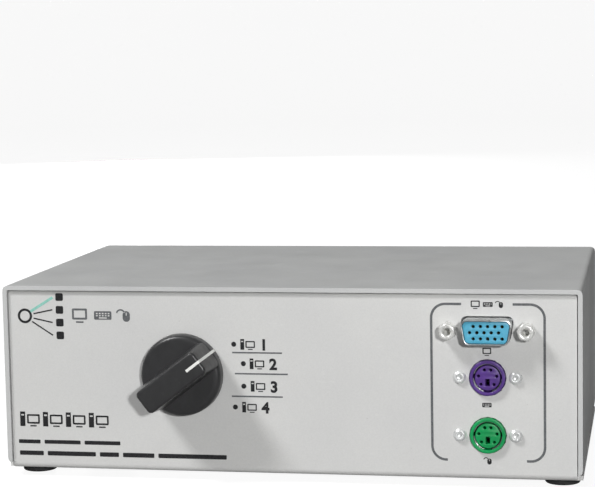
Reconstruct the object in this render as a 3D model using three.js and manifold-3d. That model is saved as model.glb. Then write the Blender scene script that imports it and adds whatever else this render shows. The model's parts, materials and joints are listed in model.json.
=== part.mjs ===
// A box that switches one keyboard, monitor and mouse between four computers by a rotary selector.
// Millimetres, +Z up. The front panel faces -Y and the rear panel +Y. The origin is at the middle of
// the object's box, on the surface that its feet stand on.

import * as THREE from "three";
import { mergeVertices } from "three/addons/utils/BufferGeometryUtils.js";
import Module from "manifold-3d";

const wasm = await Module();
wasm.setup();

// Case
const CASE_WIDTH = 192;
const CASE_DEPTH = 120;
const CASE_HEIGHT = 62; // without the feet
const SHEET = 1.5; // steel sheet of the chassis and the cover
const BEND_RADIUS = 2; // outside of a bend in that sheet
const PANEL_INSET = 0.8; // from the cover's edge back to a panel
const PANEL_LIP = 8; // turned in at the top of each panel
const COVER_FLANGE = 12; // turned in at the foot of each side of the cover
const FIT_GAP = 0.3; // between fixed pieces that sit together
const SEAT_GAP = 0.15; // under a head or a nut
const OVERCUT = 1; // how far a cut runs on past a face

const FOOT_RADIUS = 6;
const FOOT_HEIGHT = 3;
const FOOT_CHAMFER = 0.8;
const FOOT_INSET = 13; // from the front and rear edges
const SIDE_INSET = 7; // from the case's sides to its feet and screws

const SCREW_RADIUS = 1.5;
const SCREW_LENGTH = 5;
const SCREW_HEAD_RADIUS = 3;
const SCREW_HEAD_HEIGHT = 1.8;
const SCREW_CROWN = [0.9, 1.1]; // rounding of the head's edge, inwards and along the axis
const SCREW_SPACING = 50; // along the case's depth
const CROSS_SLOT = [3.4, 0.8, 1]; // length, width and depth of the driver's cross

// Connector columns and rows
const PORT_COUNT = 4;
const PORT_MARGIN = 3.4; // from the case's sides to the field that the ports share
const CONSOLE_INSET = 30.2; // from the case's right side
const VIDEO_DROP = 13.3; // from the case's top
const MOUSE_RISE = 14.5; // from the case's underside
const ROW_SPLIT = 0.55; // where the keyboard row stands between the mouse row and the video row

// Video socket: a D-shaped steel shell round a block with fifteen contacts
const SHELL_WIDTH = 16.9;
const SHELL_HEIGHT = 8.4;
const SHELL_SLANT = 10; // degrees
const SHELL_CORNER = 2;
const SHELL_WALL = 0.6;
const SHELL_REACH = 6; // in front of the panel
const SHELL_FLANGE = [30.8, 12.5, 0.8];
const SHELL_FLANGE_CORNER = 2;
const CONTACT_WIDTH = 1;
const CONTACT_DEPTH = 4;
const CONTACT_PITCH = 2.29;
const CONTACT_ROW_PITCH = 1.98;
const INSULATOR_RECESS = 0.5; // the block's face behind the shell's edge
const INSULATOR_BACK = [20.8, 11];
const JACK_SPACING = 24.99;
const JACK_ACROSS_FLATS = 5;
const JACK_REACH = 5.2;
const JACK_BORE_RADIUS = 1.3;
const JACK_BORE_DEPTH = 4.5;
const JACK_STUD_RADIUS = 1.4;
const JACK_STUD_LENGTH = 8;

// Keyboard and mouse sockets, riveted to the panel by a bracket
const SOCKET_RADIUS = 5.75;
const SOCKET_REACH = 1.2; // in front of the panel
const SOCKET_BLOCK = [14, 12.6];
const GROOVE_OUTER = 4.7;
const GROOVE_INNER = 4.05;
const GROOVE_DEPTH = 7;
const CORE_RECESS = 0.4;
const PIN_HOLE_WIDTH = 0.9;
const PIN_HOLE_DEPTH = 4;
const PIN_HOLES = [
  [1, 2.6],
  [2.9, 0.6],
  [2.1, -2.1],
]; // one of each mirrored pair
const KEY_SLOT = [1.4, 2.3, -1.5]; // width, height and middle
const BRACKET_EDGE = 3; // from a rivet's axis to the bracket's side
const BRACKET_MARGIN = 7.8; // above the keyboard socket's axis and below the mouse socket's
const BRACKET_SHEET = 1;
const BRACKET_CORNER = 1.5;
const RIVET_CLEARANCE = 1.15; // from a socket's collar to a rivet's head
const RIVET_RADIUS = 1.3;
const RIVET_HEAD_RADIUS = 2.1;
const RIVET_CROWN_RADIUS = 1.3; // at the top of the head
const RIVET_HEAD_HEIGHT = 0.9;

// Circuit boards, parallel to the panels
const CONNECTOR_DEPTH = 12; // from a panel's outer face to the connectors' backs
const BOARD_THICKNESS = 1.6;
const BOARD_FLOOR_GAP = 4.5; // from the case's underside
const BOARD_TOP_GAP = 5;
const BOARD_SIDE = 16; // beyond the outermost connector's axis
const RIBBON_THICKNESS = 0.9;
const RIBBON_WIDTH = 22;
const RIBBON_SAG = 10;
const RIBBON_FOOT = 2; // above the wafers' lower edge
const RIBBON_EASE = 0.4; // share of the way at which the sag is full

// Rotary selector
const SELECTOR_INSET = 61.6; // from the case's left side
const SELECTOR_HEIGHT = 33.1; // above the case's underside
const FIRST_ANGLE = 37; // of the pointer at position 1, in degrees above the horizontal
const DETENT_NOTCHES = 14; // so one step is a fourteenth of a turn
const SHAFT_RADIUS = 3;
const SHAFT_FLAT = 2.2; // from the axis to the flat
const TURN_GAP = 0.15; // radial, round the shaft
const KNOB_LIFT = 0.7; // off the panel
const SKIRT_RADIUS = 13.6;
const SKIRT_TOP = 5.2; // above the panel
const SKIRT_HOLLOW_RADIUS = 8.6;
const SKIRT_ROOF = 0.9;
const SKIRT_EDGE = [
  [0.2, 1.6],
  [0.8, 0.5],
  [1.8, 0],
]; // rounding of the skirt's edge, inwards and down from its top
const GRIP_LENGTH = 26.2;
const GRIP_WIDTH = 10.4;
const GRIP_TOP = 17.8; // above the panel
const GRIP_DRAFT = 1; // each side narrows by this much from the skirt to the top
const GRIP_END_ROUND = 1.6;
const GRIP_SIDE_ROUND = 1;
const GRIP_CORNER = 2.4; // seen from the front
const SHAFT_REACH = 11; // in front of the panel
const BUSHING_RADIUS = 4.6;
const NUT_ACROSS_FLATS = 12;
const NUT_THICKNESS = 1.9;
const WASHER_RADIUS = 7.6;
const WASHER_THICKNESS = 0.6;
const FRAME_SIZE = [37, 30];
const FRAME_SHEET = 1.5;
const FRAME_CORNER = 2;
const TAB_SIZE = [2.4, 1.4]; // of the tab that keeps the frame from turning in the panel
const TAB_RISE = 6; // from the frame's lower edge
const POST_SPACING = 30;
const POST_RADII = [2.4, 1.9, 1.4]; // thinner behind each wafer
const WAFER_PITCH = 11;
const WAFER_THICKNESS = 1.5;
const WAFER_COUNT = 2;
const WAFER_CORNER = 3;
const ROTOR_RADIUS = 9.4;
const ROTOR_THICKNESS = 1.1;
const ROTOR_NOTCH = [1.5, 2.4]; // depth and width
const HUB_RADIUS = 5;
const HUB_LENGTH = 3;
const LUG_SIZE = [5.2, 1.6, 0.6]; // along the radius, across it, and thick
const LUG_OVERLAP = 1; // of a lug over the rotor's rim
const DETENT_RADIUS = 10;
const DETENT_DEPTH = 1;
const DETENT_THICKNESS = 2;
const DETENT_CLEARANCE = 1.3; // behind the frame
const SPRING_THICKNESS = 0.5;
const SPRING_SPAN = 24;
const SPRING_RISE = 2.6; // of the leaf's ends over the wheel
const SPRING_NOSE = 4; // width of the nose that drops into a notch
const SPRING_INSET = 0.3; // from the wheel's faces to the spring's edges
const SPRING_STOP = [2.4, 1.2]; // width and height of the frame's stop over each end
const SPRING_STOP_INSET = 2; // from the spring's end to the stop's middle

// Flat sides that stand for a circle, and segments of a rounded corner
const RIVET_SIDES = 8;
const BORE_SIDES = 10;
const SCREW_SIDES = 12;
const SOCKET_SIDES = 16;
const ROUND_SIDES = 20;
const ROTOR_SIDES = 28;
const SKIRT_SIDES = 40;
const CORNER_SEGMENTS = 3;
const BEND_SEGMENTS = 4;
const WAVE_SEGMENTS = 4;
const RIBBON_SEGMENTS = 12;
const WELD = 1e-4; // corners nearer than this are one corner

// Worked out from the sizes above
const PANEL_PLANE = CASE_DEPTH / 2 - PANEL_INSET;
const PANEL_TOP = CASE_HEIGHT - SHEET - FIT_GAP;
const PANEL_WIDTH = CASE_WIDTH - 2 * (SHEET + FIT_GAP);
const PORT_PITCH = (CASE_WIDTH - 2 * PORT_MARGIN) / PORT_COUNT;
const CONSOLE_X = CASE_WIDTH / 2 - CONSOLE_INSET;
const VIDEO_ROW = CASE_HEIGHT - VIDEO_DROP;
const MOUSE_ROW = MOUSE_RISE;
const KEYBOARD_ROW = MOUSE_ROW + (VIDEO_ROW - MOUSE_ROW) * ROW_SPLIT;
const SELECTOR_X = SELECTOR_INSET - CASE_WIDTH / 2;
const BEHIND_PANEL = -SHEET - FIT_GAP;
const FRAME_BACK = BEHIND_PANEL - FRAME_SHEET;
const NUT_FRONT = SEAT_GAP + WASHER_THICKNESS + SEAT_GAP + NUT_THICKNESS;
const BUSHING_REACH = NUT_FRONT + FIT_GAP;
const DETENT_FRONT = FRAME_BACK - DETENT_CLEARANCE;
const FIRST_WAFER = DETENT_FRONT - DETENT_THICKNESS - WAFER_PITCH / 2;
const SHAFT_BACK = FIRST_WAFER - WAFER_PITCH * (WAFER_COUNT - 1) - HUB_LENGTH;
const FRONT_REACH = PANEL_PLANE + GRIP_TOP;
const REAR_REACH = PANEL_PLANE + SHELL_REACH;
const BOARD_FRONT = -CONNECTOR_DEPTH - FIT_GAP;
const RIVET_SPACING = 2 * (SOCKET_RADIUS + RIVET_CLEARANCE + RIVET_HEAD_RADIUS);
const TAB_HEIGHT = TAB_RISE - FRAME_SIZE[1] / 2;

// Surfaces
const paint = (color, roughness, metalness) =>
  new THREE.MeshStandardMaterial({ color, roughness, metalness });
const PANEL_PAINT = paint(0xc8c8c6, 0.55, 0.1);
const COVER_PAINT = paint(0xa9abab, 0.6, 0.1);
const STEEL = paint(0xb8bab8, 0.35, 1);
const TIN = paint(0xd4d6d2, 0.3, 1);
const BRASS = paint(0xb5925a, 0.35, 1);
const RUBBER = paint(0x3a3a3a, 0.9, 0);
const KNOB_PLASTIC = paint(0x2b2b2b, 0.45, 0);
const VIDEO_BLUE = paint(0x4aa8d8, 0.5, 0);
const KEYBOARD_PURPLE = paint(0x4b2472, 0.45, 0);
const MOUSE_GREEN = paint(0x008a48, 0.45, 0);
const BOARD_GREEN = paint(0x2f6b3a, 0.6, 0);
const WAFER_BROWN = paint(0x8a6a3a, 0.7, 0);
const ROTOR_WHITE = paint(0xd8d4c8, 0.6, 0);
const RIBBON_GREY = paint(0x8f9499, 0.7, 0);

// Solids

// A closed geometry as a manifold-3d solid.
function solid(geometry) {
  const bare = geometry.index ? geometry.toNonIndexed() : geometry.clone();
  bare.deleteAttribute("normal");
  bare.deleteAttribute("uv");
  const merged = mergeVertices(bare, WELD);
  return new wasm.Manifold(
    new wasm.Mesh({
      numProp: 3,
      vertProperties: merged.attributes.position.array,
      triVerts: new Uint32Array(merged.index.array),
    }),
  );
}

// The first geometry, joined with those of `joined` and cut by those of `cuts`.
function shaped(base, joined = [], cuts = []) {
  let body = solid(base);
  for (const piece of joined) body = body.add(solid(piece));
  for (const cut of cuts) body = body.subtract(solid(cut));
  return fromSolid(body);
}

function fromSolid(body) {
  const { vertProperties, triVerts } = body.getMesh();
  const geometry = new THREE.BufferGeometry();
  geometry.setAttribute("position", new THREE.BufferAttribute(vertProperties, 3));
  geometry.setIndex(new THREE.BufferAttribute(triVerts, 1));
  const flat = geometry.toNonIndexed();
  flat.computeVertexNormals();
  return flat;
}

// The pieces below stand in a panel's own frame: x to the right and y up as a person facing the panel
// sees them, and z out of the panel, from 0 at its outer face.

function box(width, height, from, to, x = 0, y = 0) {
  return new THREE.BoxGeometry(width, height, to - from).translate(x, y, (from + to) / 2);
}

function disc(radius, from, to, sides, x = 0, y = 0) {
  return new THREE.CylinderGeometry(radius, radius, to - from, sides)
    .rotateX(Math.PI / 2)
    .translate(x, y, (from + to) / 2);
}

function hexagon(acrossFlats, from, to) {
  return disc(acrossFlats / Math.sqrt(3), from, to, 6);
}

// A profile of [radius, z] points, in rising order round the outside, turned about z.
function turned(profile, sides) {
  const points = profile.map(([radius, z]) => new THREE.Vector2(radius, z));
  return new THREE.LatheGeometry(points, sides).rotateX(Math.PI / 2);
}

function slab(outline, from, to, curveSegments = CORNER_SEGMENTS) {
  const options = { depth: to - from, bevelEnabled: false, curveSegments };
  return new THREE.ExtrudeGeometry(outline, options).translate(0, 0, from);
}

// A closed outline through the corners, each rounded by its radius.
function roundedOutline(corners, radius) {
  const points = corners.map(([x, y]) => new THREE.Vector2(x, y));
  const radii = Array.isArray(radius) ? radius : points.map(() => radius);
  const outline = new THREE.Shape();
  points.forEach((corner, i) => {
    const before = points.at(i - 1);
    const after = points[(i + 1) % points.length];
    const enter = corner.clone().add(before.clone().sub(corner).setLength(radii[i]));
    const leave = corner.clone().add(after.clone().sub(corner).setLength(radii[i]));
    if (i === 0) outline.moveTo(enter.x, enter.y);
    else outline.lineTo(enter.x, enter.y);
    if (radii[i] > 0) outline.quadraticCurveTo(corner.x, corner.y, leave.x, leave.y);
  });
  outline.closePath();
  return outline;
}

function rectangle(width, height, radius, x = 0, y = 0) {
  const corners = [
    [x - width / 2, y - height / 2],
    [x + width / 2, y - height / 2],
    [x + width / 2, y + height / 2],
    [x - width / 2, y + height / 2],
  ];
  return roundedOutline(corners, radius);
}

// The section of a bent sheet. The corners follow its outer face, which turns left at each square bend.
function bentSheet(corners) {
  const outer = corners.map(([x, y]) => new THREE.Vector2(x, y));
  const last = outer.length - 1;
  const inward = (a, b) => new THREE.Vector2(a.y - b.y, b.x - a.x).setLength(SHEET);
  const inner = outer.map((corner, i) => {
    const shift = new THREE.Vector2();
    if (i > 0) shift.add(inward(outer[i - 1], corner));
    if (i < last) shift.add(inward(corner, outer[i + 1]));
    return corner.clone().add(shift);
  });
  const loop = [...outer, ...inner.reverse()].map((point) => [point.x, point.y]);
  const bends = outer.map((_, i) => (i === 0 || i === last ? 0 : BEND_RADIUS));
  const insideBends = bends.map((radius) => Math.max(radius - SHEET, 0));
  return roundedOutline(loop, [...bends, ...insideBends]);
}

// A flat cable whose edge follows a plane curve, drawn out to both sides of the curve's plane
function ribbon(curve) {
  const sides = [[], []];
  for (let i = 0; i <= RIBBON_SEGMENTS; i++) {
    const point = curve.getPoint(i / RIBBON_SEGMENTS);
    const tangent = curve.getTangent(i / RIBBON_SEGMENTS);
    const across = new THREE.Vector2(-tangent.y, tangent.x).setLength(RIBBON_THICKNESS / 2);
    sides[0].push(point.clone().sub(across));
    sides[1].push(point.clone().add(across));
  }
  const outline = new THREE.Shape([...sides[0], ...sides[1].reverse()]);
  return slab(outline, -RIBBON_WIDTH / 2, RIBBON_WIDTH / 2);
}

// Frames of the two panels, for the connectors and for the holes that they need
const frontPanel = new THREE.Group();
frontPanel.position.set(0, -PANEL_PLANE, 0);
frontPanel.rotation.set(Math.PI / 2, 0, 0);
frontPanel.updateMatrix();

const rearPanel = new THREE.Group();
rearPanel.position.set(0, PANEL_PLANE, 0);
rearPanel.rotation.set(Math.PI / 2, Math.PI, 0);
rearPanel.updateMatrix();

const consoleColumn = { name: "console", x: CONSOLE_X };
const portColumns = Array.from({ length: PORT_COUNT }, (_, i) => ({
  name: `port_${i + 1}`,
  x: (i - (PORT_COUNT - 1) / 2) * PORT_PITCH,
}));

// A D-shaped outline: the shell's outside, grown or shrunk all round.
function shellOutline(growth, y = 0) {
  const slope = Math.tan(THREE.MathUtils.degToRad(SHELL_SLANT));
  const top = SHELL_WIDTH / 2 + growth;
  const half = SHELL_HEIGHT / 2 + growth;
  const bottom = top - 2 * half * slope;
  const corners = [
    [-bottom, y - half],
    [bottom, y - half],
    [top, y + half],
    [-top, y + half],
  ];
  return roundedOutline(corners, SHELL_CORNER + growth);
}

// Holes through a panel for one column of connectors
function connectorHoles(x) {
  const from = -SHEET - OVERCUT;
  const to = OVERCUT;
  const holes = [slab(shellOutline(FIT_GAP, VIDEO_ROW), from, to).translate(x, 0, 0)];
  for (const side of [-1, 1]) {
    const jackX = x + (side * JACK_SPACING) / 2;
    const rivetX = x + (side * RIVET_SPACING) / 2;
    holes.push(disc(JACK_STUD_RADIUS + FIT_GAP, from, to, BORE_SIDES, jackX, VIDEO_ROW));
    for (const row of [KEYBOARD_ROW, MOUSE_ROW])
      holes.push(disc(RIVET_RADIUS + FIT_GAP, from, to, RIVET_SIDES, rivetX, row));
  }
  for (const row of [KEYBOARD_ROW, MOUSE_ROW])
    holes.push(disc(SOCKET_RADIUS + FIT_GAP, from, to, SOCKET_SIDES, x, row));
  return holes;
}

function selectorHoles() {
  const from = -SHEET - OVERCUT;
  const [width, height] = TAB_SIZE.map((size) => size + 2 * FIT_GAP);
  return [
    disc(BUSHING_RADIUS + FIT_GAP, from, OVERCUT, ROUND_SIDES, SELECTOR_X, SELECTOR_HEIGHT),
    box(width, height, from, OVERCUT, SELECTOR_X, SELECTOR_HEIGHT + TAB_HEIGHT),
  ];
}

const screwPlaces = [-1, 1].flatMap((side) =>
  [-1, 1].map((end) => [side * (CASE_WIDTH / 2 - SIDE_INSET), (end * SCREW_SPACING) / 2]),
);

// Holes for the cover screws, up through the case's floor
function screwHoles() {
  const top = 2 * SHEET + FIT_GAP + OVERCUT;
  return screwPlaces.map(([x, y]) => disc(SCREW_RADIUS + FIT_GAP, -OVERCUT, top, SCREW_SIDES, x, y));
}

// Front panel, floor and rear panel, bent from one sheet
function chassis() {
  const outline = bentSheet([
    [-PANEL_PLANE + PANEL_LIP, PANEL_TOP],
    [-PANEL_PLANE, PANEL_TOP],
    [-PANEL_PLANE, 0],
    [PANEL_PLANE, 0],
    [PANEL_PLANE, PANEL_TOP],
    [PANEL_PLANE - PANEL_LIP, PANEL_TOP],
  ]);
  const alongWidth = new THREE.Matrix4().makeBasis(
    new THREE.Vector3(0, 1, 0),
    new THREE.Vector3(0, 0, 1),
    new THREE.Vector3(1, 0, 0),
  );
  const bent = slab(outline, -PANEL_WIDTH / 2, PANEL_WIDTH / 2, BEND_SEGMENTS).applyMatrix4(alongWidth);
  const floor = box(CASE_WIDTH, 2 * (PANEL_PLANE - BEND_RADIUS), 0, SHEET);
  const inFront = [...connectorHoles(CONSOLE_X), ...selectorHoles()];
  const inRear = portColumns.flatMap(({ x }) => connectorHoles(x));
  return shaped(bent, [floor], [
    ...inFront.map((hole) => hole.applyMatrix4(frontPanel.matrix)),
    ...inRear.map((hole) => hole.applyMatrix4(rearPanel.matrix)),
    ...screwHoles(),
  ]);
}

// Top and sides, bent from one sheet, with a flange at the foot of each side for the screws
function cover() {
  const half = CASE_WIDTH / 2;
  const foot = SHEET + FIT_GAP;
  const outline = bentSheet([
    [half - COVER_FLANGE, foot],
    [half, foot],
    [half, CASE_HEIGHT],
    [-half, CASE_HEIGHT],
    [-half, foot],
    [-half + COVER_FLANGE, foot],
  ]);
  const bent = slab(outline, -CASE_DEPTH / 2, CASE_DEPTH / 2, BEND_SEGMENTS).rotateX(Math.PI / 2);
  // The flanges stop short of the panels.
  const flangeEnd = PANEL_PLANE - SHEET - FIT_GAP;
  const beyond = CASE_DEPTH / 2 - flangeEnd + OVERCUT;
  const notches = [-1, 1].map((end) =>
    new THREE.BoxGeometry(CASE_WIDTH - 2 * SHEET, beyond, 4 * SHEET).translate(
      0,
      end * (flangeEnd + beyond / 2),
      foot + SHEET,
    ),
  );
  return shaped(bent, [], [...notches, ...screwHoles()]);
}

function foot() {
  return turned(
    [
      [0, -FOOT_HEIGHT],
      [FOOT_RADIUS - FOOT_CHAMFER, -FOOT_HEIGHT],
      [FOOT_RADIUS, FOOT_CHAMFER - FOOT_HEIGHT],
      [FOOT_RADIUS, 0],
      [0, 0],
    ],
    ROUND_SIDES,
  );
}

// A pan-headed screw that points up, with its head under the floor
function coverScrew() {
  const [length, width, depth] = CROSS_SLOT;
  const [inwards, along] = SCREW_CROWN;
  const under = -SEAT_GAP - SCREW_HEAD_HEIGHT;
  const blank = turned(
    [
      [0, under],
      [SCREW_HEAD_RADIUS - inwards, under],
      [SCREW_HEAD_RADIUS, under + along],
      [SCREW_HEAD_RADIUS, -SEAT_GAP],
      [SCREW_RADIUS, -SEAT_GAP],
      [SCREW_RADIUS, SCREW_LENGTH],
      [0, SCREW_LENGTH],
    ],
    SCREW_SIDES,
  );
  const slot = (across, up) => box(across, up, under - OVERCUT, under + depth);
  return shaped(blank, [], [slot(length, width), slot(width, length)]);
}

// Video socket's steel shell: a flange behind the panel and a D-shaped collar through it
function videoShell() {
  const [width, height, thickness] = SHELL_FLANGE;
  const back = BEHIND_PANEL - thickness;
  const flange = slab(rectangle(width, height, SHELL_FLANGE_CORNER), back, BEHIND_PANEL);
  const collar = slab(shellOutline(0), back, SHELL_REACH);
  const hollow = slab(shellOutline(-SHELL_WALL), back - OVERCUT, SHELL_REACH + OVERCUT);
  const studHole = (side) =>
    disc(JACK_STUD_RADIUS + FIT_GAP, back - OVERCUT, 0, BORE_SIDES, (side * JACK_SPACING) / 2);
  return shaped(flange, [collar], [hollow, studHole(-1), studHole(1)]);
}

// Video socket's block: the contact face inside the shell and the body behind its flange
function videoInsulator() {
  const [width, height] = INSULATOR_BACK;
  const face = SHELL_REACH - INSULATOR_RECESS;
  const bodyFront = BEHIND_PANEL - SHELL_FLANGE[2] - SEAT_GAP;
  const plug = slab(shellOutline(-SHELL_WALL - SEAT_GAP), bodyFront - OVERCUT, face);
  const body = box(width, height, -CONNECTOR_DEPTH, bodyFront);
  const holes = [];
  for (let row = -1; row <= 1; row++)
    for (let column = -2; column <= 2; column++) {
      const x = column * CONTACT_PITCH + (row === 0 ? -CONTACT_PITCH / 4 : CONTACT_PITCH / 4);
      const y = row * CONTACT_ROW_PITCH;
      holes.push(box(CONTACT_WIDTH, CONTACT_WIDTH, face - CONTACT_DEPTH, face + OVERCUT, x, y));
    }
  return shaped(plug, [body], holes);
}

// Threaded post that takes a plug's thumbscrew, and holds the video socket to the panel
function jackscrew() {
  const head = hexagon(JACK_ACROSS_FLATS, SEAT_GAP, JACK_REACH);
  const stud = disc(JACK_STUD_RADIUS, -JACK_STUD_LENGTH, SEAT_GAP + OVERCUT, BORE_SIDES);
  const bore = disc(JACK_BORE_RADIUS, JACK_REACH - JACK_BORE_DEPTH, JACK_REACH + OVERCUT, BORE_SIDES);
  return shaped(head, [stud], [bore]);
}

// Six-pin round socket: a collar and a core with a groove between them for the plug's shell
function roundSocket() {
  const blockFront = BEHIND_PANEL - BRACKET_SHEET - SEAT_GAP;
  const core = SOCKET_REACH - CORE_RECESS;
  const collar = disc(SOCKET_RADIUS, blockFront - OVERCUT, SOCKET_REACH, SOCKET_SIDES);
  const block = box(...SOCKET_BLOCK, -CONNECTOR_DEPTH, blockFront);
  const grooveFloor = SOCKET_REACH - GROOVE_DEPTH;
  // The cut is the groove round the core, and the space over the core up to the collar's edge.
  const groove = turned(
    [
      [0, core],
      [GROOVE_INNER, core],
      [GROOVE_INNER, grooveFloor],
      [GROOVE_OUTER, grooveFloor],
      [GROOVE_OUTER, SOCKET_REACH + OVERCUT],
      [0, SOCKET_REACH + OVERCUT],
    ],
    SOCKET_SIDES,
  );
  const pinFloor = core - PIN_HOLE_DEPTH;
  const holes = PIN_HOLES.flatMap(([x, y]) =>
    [-x, x].map((at) => box(PIN_HOLE_WIDTH, PIN_HOLE_WIDTH, pinFloor, core + OVERCUT, at, y)),
  );
  const [width, height, middle] = KEY_SLOT;
  holes.push(box(width, height, pinFloor, core + OVERCUT, 0, middle));
  return shaped(block, [collar], [groove, ...holes]);
}

// Steel plate behind the panel, with the four rivets that clamp both round sockets to it
function socketBracket() {
  const back = BEHIND_PANEL - BRACKET_SHEET;
  const width = RIVET_SPACING + 2 * BRACKET_EDGE;
  const height = KEYBOARD_ROW - MOUSE_ROW + 2 * BRACKET_MARGIN;
  const middle = (KEYBOARD_ROW + MOUSE_ROW) / 2;
  const plate = slab(rectangle(width, height, BRACKET_CORNER, 0, middle), back, BEHIND_PANEL);
  const rows = [KEYBOARD_ROW, MOUSE_ROW];
  const rivet = (x, y) =>
    turned(
      [
        [0, back + BRACKET_SHEET / 2],
        [RIVET_RADIUS, back + BRACKET_SHEET / 2],
        [RIVET_RADIUS, SEAT_GAP],
        [RIVET_HEAD_RADIUS, SEAT_GAP],
        [RIVET_CROWN_RADIUS, SEAT_GAP + RIVET_HEAD_HEIGHT],
        [0, SEAT_GAP + RIVET_HEAD_HEIGHT],
      ],
      RIVET_SIDES,
    ).translate(x, y, 0);
  const rivets = rows.flatMap((y) => [-1, 1].map((side) => rivet((side * RIVET_SPACING) / 2, y)));
  const windows = rows.map((y) => disc(SOCKET_RADIUS + FIT_GAP, back - OVERCUT, 0, SOCKET_SIDES, 0, y));
  return shaped(plate, rivets, windows);
}

// A circuit board across the backs of the connectors from x = left to x = right
function board(left, right) {
  const bottom = BOARD_FLOOR_GAP;
  const top = CASE_HEIGHT - BOARD_TOP_GAP;
  return box(
    right - left,
    top - bottom,
    BOARD_FRONT - BOARD_THICKNESS,
    BOARD_FRONT,
    (left + right) / 2,
    (bottom + top) / 2,
  );
}

// Ribbon cable from the last wafer's foot to the rear board, sagging over the floor
function rearRibbon() {
  const wafer = waferZ(WAFER_COUNT - 1);
  const start = wafer - WAFER_THICKNESS - LUG_SIZE[2] - FIT_GAP;
  const end = -2 * PANEL_PLANE - BOARD_FRONT + BOARD_THICKNESS + FIT_GAP;
  const high = SELECTOR_HEIGHT - FRAME_SIZE[1] / 2 + RIBBON_FOOT;
  const { lerp } = THREE.MathUtils;
  const curve = new THREE.CubicBezierCurve(
    new THREE.Vector2(start, high),
    new THREE.Vector2(lerp(start, end, RIBBON_EASE), high - RIBBON_SAG),
    new THREE.Vector2(lerp(end, start, RIBBON_EASE), high - RIBBON_SAG),
    new THREE.Vector2(end, high),
  );
  // The strip is drawn in the plane of z and y, and drawn out along x.
  const turn = new THREE.Matrix4().makeBasis(
    new THREE.Vector3(0, 0, 1),
    new THREE.Vector3(0, 1, 0),
    new THREE.Vector3(-1, 0, 0),
  );
  return ribbon(curve).applyMatrix4(turn).translate(SELECTOR_X, 0, 0);
}

// Ribbon cable from the first wafer's right edge to the back of the console board
function consoleRibbon() {
  const waferMiddle = waferZ(0) - WAFER_THICKNESS / 2;
  const start = new THREE.Vector2(SELECTOR_X + FRAME_SIZE[0] / 2 + FIT_GAP, waferMiddle);
  const end = new THREE.Vector2(CONSOLE_X, BOARD_FRONT - BOARD_THICKNESS - FIT_GAP);
  const bulge = Math.min(start.y, end.y) - RIBBON_SAG * 2;
  const curve = new THREE.CubicBezierCurve(
    start,
    new THREE.Vector2((start.x + end.x) / 2, start.y),
    new THREE.Vector2(end.x, bulge),
    end,
  );
  // The strip is drawn in the plane of x and z, and drawn out along y.
  const turn = new THREE.Matrix4().makeBasis(
    new THREE.Vector3(1, 0, 0),
    new THREE.Vector3(0, 0, 1),
    new THREE.Vector3(0, -1, 0),
  );
  return ribbon(curve).applyMatrix4(turn).translate(0, SELECTOR_HEIGHT, 0);
}

// Rotary selector, about the shaft's axis

// Front face of a wafer
function waferZ(index) {
  return FIRST_WAFER - index * WAFER_PITCH;
}

// The shaft's section, grown all round, from one z to another
function shaftBore(from, to) {
  const round = disc(SHAFT_RADIUS + TURN_GAP, from, to, ROUND_SIDES);
  const reach = 4 * SHAFT_RADIUS;
  const below = -SHAFT_FLAT - TURN_GAP - reach / 2;
  return shaped(round, [], [box(reach, reach, from - OVERCUT, to + OVERCUT, 0, below)]);
}

// A steel shaft, round in the bushing and flatted where the knob and the rotors sit
function selectorShaft() {
  const reach = 4 * SHAFT_RADIUS;
  const below = -SHAFT_FLAT - reach / 2;
  const blank = disc(SHAFT_RADIUS, SHAFT_BACK, SHAFT_REACH, ROUND_SIDES);
  const knobFlat = box(reach, reach, BUSHING_REACH, SHAFT_REACH + OVERCUT, 0, below);
  const rotorFlat = box(reach, reach, SHAFT_BACK - OVERCUT, FRAME_BACK, 0, below);
  return shaped(blank, [], [knobFlat, rotorFlat]);
}

// The knob's grip: a bar with drafted sides and rounded edges, pointing along +x
function knobGrip() {
  const drafted = (span, round) => {
    const foot = span / 2;
    const top = foot - GRIP_DRAFT;
    const corners = [
      [-foot, SKIRT_TOP - SKIRT_ROOF],
      [foot, SKIRT_TOP - SKIRT_ROOF],
      [top, GRIP_TOP],
      [-top, GRIP_TOP],
    ];
    return roundedOutline(corners, [0, 0, round, round]);
  };
  const drawn = (outline) => slab(outline, -GRIP_LENGTH, GRIP_LENGTH).rotateX(Math.PI / 2);
  const alongX = drawn(drafted(GRIP_LENGTH, GRIP_END_ROUND));
  const alongY = drawn(drafted(GRIP_WIDTH, GRIP_SIDE_ROUND)).rotateZ(Math.PI / 2);
  const plan = slab(rectangle(GRIP_LENGTH, GRIP_WIDTH, GRIP_CORNER), 0, GRIP_TOP + OVERCUT);
  return solid(alongX).intersect(solid(alongY)).intersect(solid(plan));
}

// Knob: a round skirt, hollow over the nut, under the grip
function knob() {
  const roof = SKIRT_TOP - SKIRT_ROOF;
  const skirt = turned(
    [
      [0, KNOB_LIFT],
      [SKIRT_RADIUS, KNOB_LIFT],
      ...SKIRT_EDGE.map(([inwards, down]) => [SKIRT_RADIUS - inwards, SKIRT_TOP - down]),
      [0, SKIRT_TOP],
    ],
    SKIRT_SIDES,
  );
  const hollow = disc(SKIRT_HOLLOW_RADIUS, KNOB_LIFT - OVERCUT, roof, ROUND_SIDES);
  const bore = shaftBore(roof - OVERCUT, SHAFT_REACH + FIT_GAP);
  const body = solid(skirt).add(knobGrip()).subtract(solid(hollow)).subtract(solid(bore));
  return fromSolid(body);
}

function selectorWasher() {
  const blank = disc(WASHER_RADIUS, SEAT_GAP, SEAT_GAP + WASHER_THICKNESS, ROUND_SIDES);
  return shaped(blank, [], [disc(BUSHING_RADIUS + TURN_GAP, 0, NUT_FRONT, ROUND_SIDES)]);
}

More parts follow.
